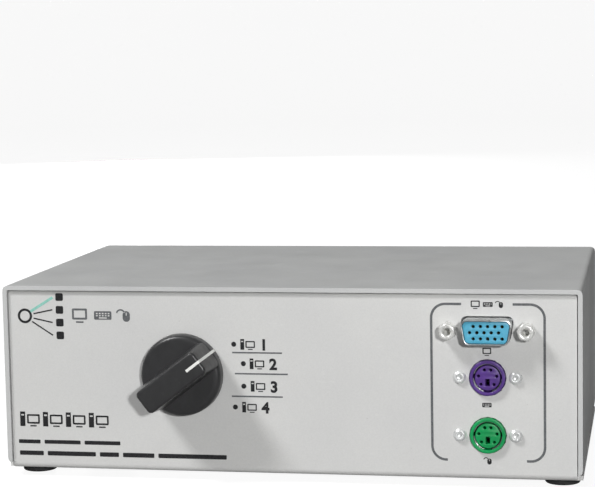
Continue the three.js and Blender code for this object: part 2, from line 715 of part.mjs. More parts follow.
function selectorNut() {
  const blank = hexagon(NUT_ACROSS_FLATS, NUT_FRONT - NUT_THICKNESS, NUT_FRONT);
  return shaped(blank, [], [disc(BUSHING_RADIUS + TURN_GAP, 0, NUT_FRONT + OVERCUT, ROUND_SIDES)]);
}

// The selector's fixed frame: plate, bushing, the posts that carry the wafers, and the spring's stops
function selectorFrame() {
  const plate = slab(rectangle(...FRAME_SIZE, FRAME_CORNER), FRAME_BACK, BEHIND_PANEL);
  const bushing = disc(BUSHING_RADIUS, FRAME_BACK, BUSHING_REACH, ROUND_SIDES);
  const inPlate = FRAME_BACK + FRAME_SHEET / 2;
  const posts = [-1, 1].flatMap((side) =>
    POST_RADII.map((radius, step) => {
      const end = step < WAFER_COUNT ? waferZ(step) + FIT_GAP : waferZ(WAFER_COUNT - 1) - HUB_LENGTH;
      return disc(radius, end, inPlate, BORE_SIDES, (side * POST_SPACING) / 2);
    }),
  );
  const tab = box(...TAB_SIZE, inPlate, -SEAT_GAP, 0, TAB_HEIGHT);
  const [width, height] = SPRING_STOP;
  const stopX = SPRING_SPAN / 2 - SPRING_STOP_INSET;
  const stopY = DETENT_RADIUS + SPRING_RISE + SPRING_THICKNESS + FIT_GAP + height / 2;
  const stops = [-stopX, stopX].map((x) =>
    box(width, height, DETENT_FRONT - DETENT_THICKNESS, inPlate, x, stopY),
  );
  const from = FRAME_BACK - OVERCUT;
  const bore = disc(SHAFT_RADIUS + TURN_GAP, from, BUSHING_REACH + OVERCUT, ROUND_SIDES);
  return shaped(plate, [bushing, ...posts, tab, ...stops], [bore]);
}

// A wheel with a wavy rim, one notch under the spring's nose at each position
function detentWheel() {
  const steps = DETENT_NOTCHES * WAVE_SEGMENTS;
  const rim = Array.from({ length: steps }, (_, i) => {
    const angle = (i / steps) * 2 * Math.PI + Math.PI / 2;
    const wave = (DETENT_DEPTH / 2) * Math.cos((i / steps) * 2 * Math.PI * DETENT_NOTCHES);
    const radius = DETENT_RADIUS - DETENT_DEPTH / 2 - wave;
    return new THREE.Vector2(radius * Math.cos(angle), radius * Math.sin(angle));
  });
  const wheel = slab(new THREE.Shape(rim), DETENT_FRONT - DETENT_THICKNESS, DETENT_FRONT);
  // The knob's frame is turned with the pointer, so this turns a notch back under the nose.
  wheel.rotateZ(-THREE.MathUtils.degToRad(FIRST_ANGLE));
  const bore = shaftBore(DETENT_FRONT - DETENT_THICKNESS - OVERCUT, DETENT_FRONT + OVERCUT);
  return shaped(wheel, [], [bore]);
}

// A leaf spring over the wheel, bent down to a nose that drops into a notch
function detentSpring() {
  const low = DETENT_RADIUS - DETENT_DEPTH + FIT_GAP;
  const high = DETENT_RADIUS + SPRING_RISE;
  const half = SPRING_SPAN / 2;
  const shoulder = high - SPRING_THICKNESS;
  const under = [
    [-half, high],
    [-SPRING_NOSE / 2, shoulder],
    [0, low],
    [SPRING_NOSE / 2, shoulder],
    [half, high],
  ];
  const over = under.map(([x, y]) => [x, y + SPRING_THICKNESS]).reverse();
  const outline = new THREE.Shape([...under, ...over].map(([x, y]) => new THREE.Vector2(x, y)));
  const back = DETENT_FRONT - DETENT_THICKNESS;
  return slab(outline, back + SPRING_INSET, DETENT_FRONT - SPRING_INSET);
}

// A fibre plate with a round window and a ring of contact lugs on its back
function selectorWafer(index) {
  const front = waferZ(index);
  const back = front - WAFER_THICKNESS;
  const plate = slab(rectangle(...FRAME_SIZE, WAFER_CORNER), back, front);
  const [long, wide, thick] = LUG_SIZE;
  const lugs = Array.from({ length: DETENT_NOTCHES }, (_, i) =>
    box(long, wide, back - thick, back, ROTOR_RADIUS - LUG_OVERLAP + long / 2)
      .rotateZ(((i + 0.5) / DETENT_NOTCHES) * 2 * Math.PI),
  );
  const holes = [disc(ROTOR_RADIUS + FIT_GAP, back, front + OVERCUT, ROTOR_SIDES)];
  for (const side of [-1, 1]) {
    const radius = POST_RADII[index + 1] + FIT_GAP;
    holes.push(disc(radius, back - OVERCUT, front + OVERCUT, BORE_SIDES, (side * POST_SPACING) / 2));
  }
  return shaped(shaped(plate, [], holes), lugs);
}

// A rotor that bridges one wafer's lugs, on a hub that the shaft's flat drives
function selectorRotor(index) {
  const back = waferZ(index) - WAFER_THICKNESS + FIT_GAP;
  const disk = disc(ROTOR_RADIUS, back, back + ROTOR_THICKNESS, ROTOR_SIDES);
  const hub = disc(HUB_RADIUS, back, back + HUB_LENGTH, ROUND_SIDES);
  const [depth, width] = ROTOR_NOTCH;
  const notch = box(2 * depth, width, back - OVERCUT, back + ROTOR_THICKNESS + OVERCUT, ROTOR_RADIUS);
  return shaped(disk, [hub], [notch, shaftBore(back - OVERCUT, back + HUB_LENGTH + OVERCUT)]);
}

// The object

function add(group, name, geometry, material, x = 0, y = 0, z = 0) {
  const mesh = new THREE.Mesh(geometry, material);
  mesh.name = name;
  mesh.position.set(x, y, z);
  group.add(mesh);
}

function addCase(group) {
  add(group, "chassis", chassis(), PANEL_PAINT);
  add(group, "cover", cover(), COVER_PAINT);
  screwPlaces.forEach(([x, y], i) => add(group, `cover_screw_${i + 1}`, coverScrew(), STEEL, x, y));
  const x = CASE_WIDTH / 2 - SIDE_INSET;
  const y = CASE_DEPTH / 2 - FOOT_INSET;
  add(group, "foot_front_left", foot(), RUBBER, -x, -y);
  add(group, "foot_front_right", foot(), RUBBER, x, -y);
  add(group, "foot_rear_left", foot(), RUBBER, -x, y);
  add(group, "foot_rear_right", foot(), RUBBER, x, y);
}

function addConnectors(group, { name, x }) {
  const jack = JACK_SPACING / 2;
  add(group, `vga_shell_${name}`, videoShell(), TIN, x, VIDEO_ROW);
  add(group, `vga_insulator_${name}`, videoInsulator(), VIDEO_BLUE, x, VIDEO_ROW);
  add(group, `jackscrew_${name}_left`, jackscrew(), STEEL, x - jack, VIDEO_ROW);
  add(group, `jackscrew_${name}_right`, jackscrew(), STEEL, x + jack, VIDEO_ROW);
  add(group, `keyboard_socket_${name}`, roundSocket(), KEYBOARD_PURPLE, x, KEYBOARD_ROW);
  add(group, `mouse_socket_${name}`, roundSocket(), MOUSE_GREEN, x, MOUSE_ROW);
  add(group, `socket_bracket_${name}`, socketBracket(), TIN, x);
}

function addBoards() {
  const ports = portColumns.at(-1).x + BOARD_SIDE;
  add(rearPanel, "rear_board", board(-ports, ports), BOARD_GREEN);
  add(frontPanel, "console_board", board(CONSOLE_X - BOARD_SIDE, CONSOLE_X + BOARD_SIDE), BOARD_GREEN);
  add(frontPanel, "rear_ribbon", rearRibbon(), RIBBON_GREY);
  add(frontPanel, "console_ribbon", consoleRibbon(), RIBBON_GREY);
}

function addSelector() {
  const fixed = new THREE.Group();
  fixed.position.set(SELECTOR_X, SELECTOR_HEIGHT, 0);
  const turning = new THREE.Group();
  turning.rotation.z = THREE.MathUtils.degToRad(FIRST_ANGLE);
  frontPanel.add(fixed);
  fixed.add(turning);
  add(fixed, "selector_frame", selectorFrame(), STEEL);
  add(fixed, "selector_washer", selectorWasher(), STEEL);
  add(fixed, "selector_nut", selectorNut(), BRASS);
  add(fixed, "detent_spring", detentSpring(), STEEL);
  add(turning, "selector_knob", knob(), KNOB_PLASTIC);
  add(turning, "selector_shaft", selectorShaft(), STEEL);
  add(turning, "detent_wheel", detentWheel(), BRASS);
  for (let i = 0; i < WAFER_COUNT; i++) {
    add(fixed, `selector_wafer_${i + 1}`, selectorWafer(i), WAFER_BROWN);
    add(turning, `selector_rotor_${i + 1}`, selectorRotor(i), ROTOR_WHITE);
  }
}

const kvmSwitch = new THREE.Group();
kvmSwitch.position.set(0, (FRONT_REACH - REAR_REACH) / 2, FOOT_HEIGHT);
kvmSwitch.add(frontPanel, rearPanel);
addCase(kvmSwitch);
addConnectors(frontPanel, consoleColumn);
for (const column of portColumns) addConnectors(rearPanel, column);
addBoards();
addSelector();

export default kvmSwitch;
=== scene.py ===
"""Looks of a four-port switch box with a rotary selector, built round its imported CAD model."""

import json
import math

import bmesh
import bpy
from mathutils import Euler, Matrix, Vector
from mathutils.bvhtree import BVHTree


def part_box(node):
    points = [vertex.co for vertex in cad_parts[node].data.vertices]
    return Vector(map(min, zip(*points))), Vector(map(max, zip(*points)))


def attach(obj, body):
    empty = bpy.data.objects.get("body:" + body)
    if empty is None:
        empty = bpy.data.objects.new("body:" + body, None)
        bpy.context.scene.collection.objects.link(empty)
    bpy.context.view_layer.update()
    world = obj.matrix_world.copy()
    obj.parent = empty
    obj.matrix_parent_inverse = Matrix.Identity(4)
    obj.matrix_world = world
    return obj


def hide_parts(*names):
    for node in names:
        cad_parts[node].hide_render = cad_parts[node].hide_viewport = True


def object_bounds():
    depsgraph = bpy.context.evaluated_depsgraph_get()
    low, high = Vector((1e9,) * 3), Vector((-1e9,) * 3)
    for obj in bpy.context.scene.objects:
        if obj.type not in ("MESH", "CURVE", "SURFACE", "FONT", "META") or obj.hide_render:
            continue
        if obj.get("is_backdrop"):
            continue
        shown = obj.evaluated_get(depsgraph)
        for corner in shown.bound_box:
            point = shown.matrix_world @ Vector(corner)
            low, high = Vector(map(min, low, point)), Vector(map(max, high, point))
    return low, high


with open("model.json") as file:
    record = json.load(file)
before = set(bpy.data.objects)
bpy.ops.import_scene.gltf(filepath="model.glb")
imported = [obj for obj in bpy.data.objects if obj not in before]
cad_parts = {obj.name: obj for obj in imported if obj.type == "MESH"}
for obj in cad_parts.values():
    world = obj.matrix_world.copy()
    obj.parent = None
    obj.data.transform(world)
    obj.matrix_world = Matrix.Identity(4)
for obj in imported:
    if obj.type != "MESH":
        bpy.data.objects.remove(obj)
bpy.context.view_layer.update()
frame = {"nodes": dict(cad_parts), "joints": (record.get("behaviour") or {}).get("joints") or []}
MM = 0.001
SHARP_ANGLE = math.radians(38)  # an edge that turns by more than this is shaded sharp
WELD_DISTANCE = 1e-6
THINNEST_EDGE = 1e-7

# ---------------------------------------------------------------- materials


def srgb(red, green, blue):
    """A colour given as 0 to 255 display values, as linear RGBA."""
    parts = (value / 255 for value in (red, green, blue))
    return (*(((p + 0.055) / 1.055) ** 2.4 if p > 0.04045 else p / 12.92 for p in parts), 1)


class Look:
    """A procedural material round one Principled shader. Coordinates are the object's, in metres."""

    def __init__(self, name, **sockets):
        self.material = bpy.data.materials.new(name)
        self.material.use_nodes = True
        self.nodes = self.material.node_tree.nodes
        self.link = self.material.node_tree.links.new
        self.shader = self.nodes["Principled BSDF"]
        for socket, value in sockets.items():
            self.shader.inputs[socket.replace("_", " ")].default_value = value
        self.place = self.nodes.new("ShaderNodeTexCoord").outputs["Object"]
        self.height = None

    def stretched(self, x, y, z):
        node = self.nodes.new("ShaderNodeMapping")
        node.inputs["Scale"].default_value = (x, y, z)
        self.link(self.place, node.inputs["Vector"])
        return node.outputs["Vector"]

    def noise(self, size, detail=3, where=None):
        """Noise from 0 to 1 whose patches are about `size` millimetres."""
        node = self.nodes.new("ShaderNodeTexNoise")
        node.inputs["Scale"].default_value = 1 / (size * MM)
        node.inputs["Detail"].default_value = detail
        self.link(where or self.place, node.inputs["Vector"])
        return node.outputs["Fac"]

    def cells(self, size):
        node = self.nodes.new("ShaderNodeTexVoronoi")
        node.inputs["Scale"].default_value = 1 / (size * MM)
        self.link(self.place, node.inputs["Vector"])
        return node.outputs["Distance"]

    def spread(self, value, low, high, start=0.0, end=1.0):
        node = self.nodes.new("ShaderNodeMapRange")
        for socket, number in zip(node.inputs[1:5], (low, high, start, end)):
            socket.default_value = number
        self.link(value, node.inputs[0])
        return node.outputs[0]

    def blend(self, amount, first, second):
        node = self.nodes.new("ShaderNodeMix")
        node.data_type = "RGBA"
        for index, value in ((0, amount), (6, first), (7, second)):
            socket = node.inputs[index]
            if isinstance(value, (int, float, tuple)):
                socket.default_value = value
            else:
                self.link(value, socket)
        return node.outputs[2]

    def math(self, operation, first, second):
        node = self.nodes.new("ShaderNodeMath")
        node.operation = operation
        for socket, value in zip(node.inputs, (first, second)):
            if isinstance(value, (int, float)):
                socket.default_value = value
            else:
                self.link(value, socket)
        return node.outputs[0]

    def relief(self, value, depth, strength=1.0):
        """Adds bumps `depth` millimetres high."""
        node = self.nodes.new("ShaderNodeBump")
        node.inputs["Distance"].default_value = depth * MM
        node.inputs["Strength"].default_value = strength
        self.link(value, node.inputs["Height"])
        if self.height is not None:
            self.link(self.height, node.inputs["Normal"])
        self.height = node.outputs["Normal"]
        self.link(self.height, self.shader.inputs["Normal"])

    def color(self, value):
        self.link(value, self.shader.inputs["Base Color"])

    def rough(self, value):
        self.link(value, self.shader.inputs["Roughness"])


def paint(name, tone, shade):
    """Satin powder coat: a fine pebbled skin, faint patches, a few pale rubs and dark specks."""
    look = Look(name, Specular_IOR_Level=0.4)
    patches = look.spread(look.noise(38, 4), 0.35, 0.68)
    base = look.blend(patches, srgb(*tone), srgb(*shade))
    grain = look.noise(0.45, 2)
    base = look.blend(look.spread(grain, 0.3, 0.75, 0.0, 0.16), base, srgb(*(c * 0.82 for c in tone)))
    specks = look.spread(look.noise(1.6, 5), 0.72, 0.79, 0.0, 0.3)
    base = look.blend(specks, base, srgb(*(c * 0.62 for c in tone)))
    rubs = look.spread(look.noise(9, 6, look.stretched(1, 1, 3)), 0.66, 0.8, 0.0, 0.35)
    look.color(look.blend(rubs, base, srgb(*(min(c * 1.1, 250) for c in tone))))
    look.rough(look.spread(look.noise(14, 5), 0.3, 0.75, 0.42, 0.6))
    look.relief(grain, 0.016, 0.55)
    look.relief(look.noise(2.6, 2), 0.02, 0.3)
    return look.material


def metal(name, tone, shade, stretch=(1, 1, 1), rough=(0.22, 0.42), tarnish=0.35, metallic=1.0):
    """Plated or bare metal: brushed one way by `stretch`, with dull patches and fine scratches."""
    look = Look(name, Metallic=metallic)
    streaks = look.noise(0.5, 4, look.stretched(*stretch))
    base = look.blend(look.spread(streaks, 0.3, 0.7), srgb(*tone), srgb(*shade))
    dull = look.spread(look.noise(3.2, 5), 0.5, 0.78, 0.0, tarnish)
    look.color(look.blend(dull, base, srgb(*(c * 0.6 for c in shade))))
    wear = look.spread(look.noise(1.3, 4), 0.3, 0.75, *rough)
    look.rough(look.math("ADD", wear, look.spread(dull, 0, 1, 0, 0.25)))
    look.relief(streaks, 0.006, 0.5)
    look.relief(look.noise(0.8, 3), 0.008, 0.35)
    return look.material


def moulded(name, tone, shade, rough=(0.3, 0.45), grain=0.3, depth=0.008, pale=0.12, coat=0.0):
    """Injection-moulded plastic: soft flow marks, a fine spark-eroded grain and rubbed high spots."""
    look = Look(name, Specular_IOR_Level=0.5, Coat_Weight=coat, Coat_Roughness=0.2)
    flow = look.spread(look.noise(6, 3, look.stretched(1, 1, 0.4)), 0.3, 0.72)
    base = look.blend(flow, srgb(*tone), srgb(*shade))
    rubs = look.spread(look.noise(1.8, 6), 0.6, 0.8, 0.0, pale)
    look.color(look.blend(rubs, base, srgb(*(min(c * 1.35 + 18, 250) for c in tone))))
    look.rough(look.spread(look.noise(2.4, 4), 0.3, 0.72, *rough))
    look.relief(look.noise(grain, 2), depth, 0.5)
    look.relief(look.noise(3, 2), 0.03, 0.12)
    return look.material


def ink(name, tone):
    """Screen-printed ink: slightly uneven cover, with pinholes and a dull skin."""
    look = Look(name, Specular_IOR_Level=0.3)
    cover = look.spread(look.noise(0.7, 4), 0.35, 0.75, 0.0, 0.35)
    look.color(look.blend(cover, srgb(*tone), srgb(*(min(c * 1.25 + 26, 250) for c in tone))))
    look.rough(look.spread(look.noise(0.5, 3), 0.3, 0.7, 0.5, 0.72))
    look.relief(look.noise(0.25, 2), 0.006, 0.5)
    return look.material


def rubber():
    look = Look("foot_rubber", Specular_IOR_Level=0.25)
    dust = look.spread(look.noise(4, 6), 0.45, 0.75, 0.0, 0.4)
    look.color(look.blend(dust, srgb(58, 58, 59), srgb(112, 110, 106)))
    look.rough(look.spread(look.noise(1.2, 3), 0.3, 0.7, 0.72, 0.92))
    look.relief(look.cells(0.35), 0.02, 0.4)
    return look.material


def laminate():
    """Circuit board: green mask over copper tracks, with a faint weave below."""
    look = Look("board_green", Specular_IOR_Level=0.5)
    tracks = look.spread(look.noise(2.2, 0, look.stretched(1, 1, 6)), 0.5, 0.53)
    tracks = look.math("MAXIMUM", tracks, look.spread(look.noise(2.2, 0, look.stretched(6, 1, 1)), 0.57, 0.6))
    base = look.blend(look.spread(look.noise(16, 3), 0.3, 0.7), srgb(28, 84, 44), srgb(36, 98, 54))
    look.color(look.blend(tracks, base, srgb(52, 124, 66)))
    look.rough(look.spread(look.noise(3, 3), 0.3, 0.7, 0.28, 0.42))
    look.relief(tracks, 0.035, 0.7)
    look.relief(look.cells(0.5), 0.01, 0.3)
    return look.material


def flat_cable():
    """Grey ribbon cable: parallel conductors 1.27 mm apart."""
    look = Look("ribbon_grey", Specular_IOR_Level=0.35)
    wave = look.nodes.new("ShaderNodeTexWave")
    wave.inputs["Scale"].default_value = 1 / (1.27 * MM) / 3.18
    look.link(look.stretched(1, 0, 1), wave.inputs["Vector"])
    ridges = wave.outputs["Fac"]
    base = look.blend(look.spread(look.noise(7, 4), 0.3, 0.7), srgb(150, 154, 158), srgb(132, 136, 141))
    # Painted shade: the colour is darkened towards (92, 95, 99) in the grooves between the conductors, where
    # the ridges' relief puts them
    look.color(look.blend(look.spread(ridges, 0, 1, 0.4, 0), base, srgb(92, 95, 99)))
    look.rough(look.spread(look.noise(2, 3), 0.3, 0.7, 0.45, 0.62))
    look.relief(ridges, 0.25, 0.8)
    return look.material


def fibre():
    """Paper-based phenolic board of the wafers: mottled fibres in brown resin."""
    look = Look("wafer_brown", Specular_IOR_Level=0.35)
    fibres = look.noise(0.9, 5, look.stretched(4, 1, 0.6))
    base = look.blend(look.spread(fibres, 0.3, 0.7), srgb(142, 98, 52), srgb(110, 72, 36))
    look.color(look.blend(look.spread(look.noise(5, 4), 0.5, 0.75, 0, 0.5), base, srgb(160, 118, 66)))
    look.rough(look.spread(look.noise(1.5, 3), 0.3, 0.7, 0.5, 0.7))
    look.relief(fibres, 0.02, 0.5)
    return look.material


ALONG_X, ALONG_Y, ALONG_Z, EVEN = (6, 1, 1), (1, 6, 1), (1, 1, 5), (1, 1, 1)
BRIGHT_PLATE = {"tarnish": 0.15, "metallic": 0.45}  # partly diffuse, so that small parts look white
LOOKS = {
    "panel_paint": paint("panel_paint", (216, 216, 214), (211, 211, 210)),
    "cover_paint": paint("cover_paint", (204, 205, 204), (198, 199, 199)),
    "screw_steel": metal("screw_steel", (196, 196, 192), (168, 168, 166), rough=(0.25, 0.45)),
    "foot_rubber": rubber(),
    "shell_tin": metal("shell_tin", (214, 216, 216), (184, 187, 188), ALONG_Z, (0.24, 0.42), 0.25),
    "vga_blue": moulded("vga_blue", (92, 178, 208), (78, 166, 198), (0.32, 0.48), 0.25, 0.008, 0.2),
    "jack_steel": metal(
        "jack_steel", (243, 243, 240), (228, 228, 225), ALONG_Y, (0.2, 0.36), **BRIGHT_PLATE
    ),
    "keyboard_purple": moulded("keyboard_purple", (92, 60, 140), (76, 48, 122), (0.28, 0.42), 0.25),
    "mouse_green": moulded("mouse_green", (14, 158, 88), (10, 138, 74), (0.28, 0.42), 0.25),
    "bracket_steel": metal(
        "bracket_steel", (242, 243, 242), (226, 228, 228), EVEN, (0.24, 0.4), **BRIGHT_PLATE
    ),
    "board_green": laminate(),
    "ribbon_grey": flat_cable(),
    "knob_plastic": moulded("knob_plastic", (53, 53, 54), (46, 46, 47), (0.3, 0.42), 0.35, 0.012, 0.1),
    "shaft_steel": metal("shaft_steel", (190, 190, 188), (160, 160, 158), (1, 8, 1), (0.2, 0.36)),
    "brass": metal("brass", (206, 172, 104), (180, 144, 80), ALONG_Y, (0.22, 0.4)),
    "spring_steel": metal("spring_steel", (170, 174, 180), (140, 144, 150), ALONG_X, (0.2, 0.34)),
    "wafer_brown": fibre(),
    "rotor_white": moulded("rotor_white", (222, 217, 202), (208, 202, 186), (0.42, 0.58), 0.3),
}
DARK_INK = ink("dark_ink", (30, 30, 32))
GREY_INK = ink("grey_ink", (92, 94, 96))
TEAL_INK = ink("teal_ink", (136, 196, 180))
WHITE_INK = ink("white_ink", (236, 236, 232))
CONTACT_GOLD = metal("contact_gold", (120, 100, 62), (84, 68, 40), EVEN, (0.25, 0.45))

# ---------------------------------------------------------------- mesh code, in millimetres


def arc(x, y, radius, start, end, steps):
    """Points of an arc between two angles in degrees, ends included."""
    turns = [math.radians(start + (end - start) * i / steps) for i in range(steps + 1)]
    return [(x + radius * math.cos(a), y + radius * math.sin(a)) for a in turns]


def circle(radius, x=0.0, y=0.0, steps=32):
    return arc(x, y, radius, 0, 360, steps)[:-1]


def rounded(corners, radii, steps=6, closed=True):
    """The corners with each one replaced by an arc that touches both of its sides."""
    points = []
    radii = radii if isinstance(radii, (list, tuple)) else [radii] * len(corners)
    for i, (corner, radius) in enumerate(zip(corners, radii)):
        if radius <= 0 or (not closed and i in (0, len(corners) - 1)):
            points.append(tuple(corner))
            continue
        here = Vector(corner)
        before = (Vector(corners[i - 1]) - here).normalized()
        after = (Vector(corners[(i + 1) % len(corners)]) - here).normalized()
        half = before.angle(after) / 2
        centre = here + (before + after).normalized() * radius / math.sin(half)
        first = here + before * radius / math.tan(half) - centre
        last = here + after * radius / math.tan(half) - centre
        turn = first.angle_signed(last)
        for k in range(steps + 1):
            spoke = first.copy()
            spoke.rotate(Matrix.Rotation(-turn * k / steps, 2))
            points.append(tuple(centre + spoke))
    return points


def rectangle(width, height, radius=0.0, x=0.0, y=0.0, steps=6):
    w, h = width / 2, height / 2
    corners = [(x - w, y - h), (x + w, y - h), (x + w, y + h), (x - w, y + h)]
    return rounded(corners, radius, steps)


def finished(bm, name):
    """A mesh from a bmesh: welded, closed faces facing out, smooth apart from its sharp edges."""
    bmesh.ops.remove_doubles(bm, verts=bm.verts, dist=WELD_DISTANCE)
    bmesh.ops.dissolve_degenerate(bm, edges=bm.edges, dist=THINNEST_EDGE)
    bmesh.ops.recalc_face_normals(bm, faces=bm.faces)
    mesh = bpy.data.meshes.new(name)
    bm.to_mesh(mesh)
    bm.free()
    mesh.shade_smooth()
    mesh.set_sharp_from_angle(angle=SHARP_ANGLE)
    return mesh


def plate(outlines, low, high, bevel=0.0, name="plate"):
    """A flat solid from closed outlines, where an outline inside another is a hole."""
    curve = bpy.data.curves.new(name, "CURVE")
    curve.dimensions = "2D"
    curve.fill_mode = "BOTH"
    curve.extrude = ((high - low) / 2 - bevel) * MM
    curve.bevel_depth = bevel * MM
    curve.bevel_resolution = 1
    curve.offset = -bevel * MM
    for points in outlines:
        area = sum(a[0] * b[1] - b[0] * a[1] for a, b in zip(points, points[1:] + points[:1]))
        inside = any(holds(other, points[0]) for other in outlines if other is not points)
        if (area > 0) == inside:
            points = points[::-1]
        spline = curve.splines.new("POLY")
        spline.points.add(len(points) - 1)
        for point, (x, y) in zip(spline.points, points):
            point.co = (x * MM, y * MM, 0, 1)
        spline.use_cyclic_u = True
    holder = bpy.data.objects.new(name, curve)
    mesh = bpy.data.meshes.new_from_object(holder)
    bpy.data.objects.remove(holder)
    bpy.data.curves.remove(curve)
    mesh.transform(Matrix.Translation((0, 0, (low + high) / 2 * MM)))
    bm = bmesh.new()
    bm.from_mesh(mesh)
    bpy.data.meshes.remove(mesh)
    return finished(bm, name)


def holds(outline, point):
    """Whether the outline goes round the point."""
    x, y = point
    inside = False
    for (ax, ay), (bx, by) in zip(outline, outline[1:] + outline[:1]):
        if (ay > y) != (by > y) and x < (bx - ax) * (y - ay) / (by - ay) + ax:
            inside = not inside
    return inside


def loft(rings, name="loft", closed=False):
    """A solid through rings of (x, y, z) points. Its ends are capped, unless it closes on itself."""
    bm = bmesh.new()
    loops = [[bm.verts.new(Vector(p) * MM) for p in ring] for ring in rings]
    pairs = list(zip(loops, loops[1:] + loops[:1])) if closed else list(zip(loops, loops[1:]))
    for low, high in pairs:
        for i in range(len(low)):
            j = (i + 1) % len(low)
            bm.faces.new((low[i], low[j], high[j], high[i]))
    if not closed:
        bm.faces.new(loops[0][::-1])
        bm.faces.new(loops[-1])
    return finished(bm, name)


def lathe(profile, steps=48, name="lathe", closed=False):
    """A solid of revolution about z through [radius, z] points, from its first end cap to its last."""
    turns = [2 * math.pi * i / steps for i in range(steps)]
    rings = [[(r * math.cos(a), r * math.sin(a), z) for a in turns] for r, z in profile]
    return loft(rings, name, closed)


def merged(meshes, name):
    """One mesh of several, each given alone or as (mesh, x, y)."""
    bm = bmesh.new()
    for item in meshes:
        mesh, x, y = item if isinstance(item, tuple) else (item, 0, 0)
        copy = mesh.copy()
        copy.transform(Matrix.Translation((x * MM, y * MM, 0)))
        bm.from_mesh(copy)
        bpy.data.meshes.remove(copy)
    mesh = bpy.data.meshes.new(name)
    bm.to_mesh(mesh)
    bm.free()
    mesh.shade_smooth()
    mesh.set_sharp_from_angle(angle=SHARP_ANGLE)
    return mesh


def joined(first, second, name):
    """The union of two closed meshes."""
    holders = [bpy.data.objects.new(name, mesh) for mesh in (first, second)]
    for holder in holders:
        bpy.context.scene.collection.objects.link(holder)
    union = holders[0].modifiers.new("union", "BOOLEAN")
    union.operation = "UNION"
    union.solver = "EXACT"
    union.object = holders[1]
    bpy.context.view_layer.update()
    solid = holders[0].evaluated_get(bpy.context.evaluated_depsgraph_get())
    bm = bmesh.new()
    bm.from_mesh(solid.to_mesh())
    solid.to_mesh_clear()
    for holder in holders:
        bpy.data.objects.remove(holder)
    return finished(bm, name)


def piece(name, mesh, where, look, body="case", replaces=()):
    """A copy of the mesh put in place in the row frame, riding on its body."""
    mesh = mesh.copy()
    mesh.name = name
    mesh.transform(where)
    mesh.materials.clear()
    mesh.materials.append(look)
    made = bpy.data.objects.new(name, mesh)
    bpy.context.scene.collection.objects.link(made)
    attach(made, body)
    if replaces:
        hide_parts(*replaces)
    return made


def slotted(name, mesh, where, slot, body="case", replaces=()):
    return piece(name, mesh, where, LOOKS[slot], body, replaces)


# ---------------------------------------------------------------- where things are

SHEET_LOW, SHEET_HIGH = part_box("chassis")
UNDERSIDE = SHEET_LOW.z


def panel_frame(y, heading):
    """A panel's own frame: x to the right and y up as a person facing it sees them, and z out of it."""
    return Matrix.Translation((0, y, UNDERSIDE)) @ Euler((math.pi / 2, 0, heading)).to_matrix().to_4x4()


FRONT = panel_frame(SHEET_LOW.y, 0)
REAR = panel_frame(SHEET_HIGH.y, math.pi)
COLUMNS = ["console", "port_1", "port_2", "port_3", "port_4"]


def panel_of(column):
    return FRONT if column == "console" else REAR


def centre_on_panel(node, column):
    """x and y of a node's middle in its panel's frame, in millimetres."""
    low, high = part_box(node)
    local = panel_of(column).inverted() @ ((low + high) / 2)
    return local.x / MM, local.y / MM


def at(column, x, y):
    return panel_of(column) @ Matrix.Translation((x * MM, y * MM, 0))


# ---------------------------------------------------------------- connectors

BEHIND = -1.8  # front face of what is clamped behind a panel
CONNECTOR_BACK = -12

SHELL_WIDTH, SHELL_HEIGHT, SHELL_SLANT = 16.9, 8.4, math.tan(math.radians(10))
SHELL_CORNER, SHELL_SHEET, SHELL_REACH = 2.2, 0.6, 6.0
SHARPEST_CORNER = 0.5
FLANGE_WIDTH, FLANGE_HEIGHT, FLANGE_CORNER, FLANGE_SHEET = 30.8, 12.5, 2, 0.8
STUD_HOLE_RADIUS = 1.7
BLOCK_GAP, BLOCK_REACH = 0.15, 5.5  # to the shell's inside, and out of the panel
BLOCK_WIDTH, BLOCK_HEIGHT, BLOCK_SHOULDER = 20.8, 11, -3.0
CONTACT_PITCH, CONTACT_STAGGER, CONTACT_ROWS = 2.29, 0.57, 1.98

JACK_SPACING = 24.99
JACK_HALF_FLATS, JACK_REACH, JACK_STUD = 2.5, 5.2, 1.4
THREAD_PITCH, THREAD_CREST, THREAD_ROOT = 0.635, 1.14, 1.34
THREAD_END = 1.4
JACK_TURN, JACK_TURN_SPREAD = 13, 9  # degrees: no two posts of a socket are done up to the same angle

SOCKET_RADIUS, SOCKET_REACH, SOCKET_BACK = 5.75, 1.2, -6.8
GROOVE_RADIUS, GROOVE_FLOOR = 4.68, -5.8
CORE_RADIUS, CORE_FACE, CORE_BACK = 4.05, 0.8, -6.0
PIN_HOLE_RADIUS = 0.5
PIN_HOLES = [(side * x, y) for x, y in ((1, 2.6), (2.9, 0.6), (2.1, -2.1)) for side in (-1, 1)]
KEY_WIDTH, KEY_HEIGHT, KEY_MIDDLE = 1.4, 2.3, -1.5
SOCKET_BLOCK_WIDTH, SOCKET_BLOCK_HEIGHT = 14, 12.6
LINER_RADIUS, LINER_SHEET, LINER_TOP, LINER_BACK = 4.66, 0.24, 0.3, -5.75
LINER_ARCS = ((90, 150), (218, 70), (322, 70))  # middle and span, in degrees

RIVET_SPACING, RIVET_RADIUS, RIVET_HEAD_RADIUS = 18, 1.3, 2.1
BRACKET_WIDTH, BRACKET_MARGIN, BRACKET_SHEET, BRACKET_CORNER = 24, 7.8, 1, 1.5
BRACKET_WINDOW_RADIUS = 6.05


def d_shape(growth):
    """The outline of a D-shaped shell, grown on all sides."""
    top, half = SHELL_WIDTH / 2 + growth, SHELL_HEIGHT / 2 + growth
    foot = top - 2 * half * SHELL_SLANT
    corners = [(-foot, -half), (foot, -half), (top, half), (-top, half)]
    return rounded(corners, max(SHELL_CORNER + growth, SHARPEST_CORNER), 8)


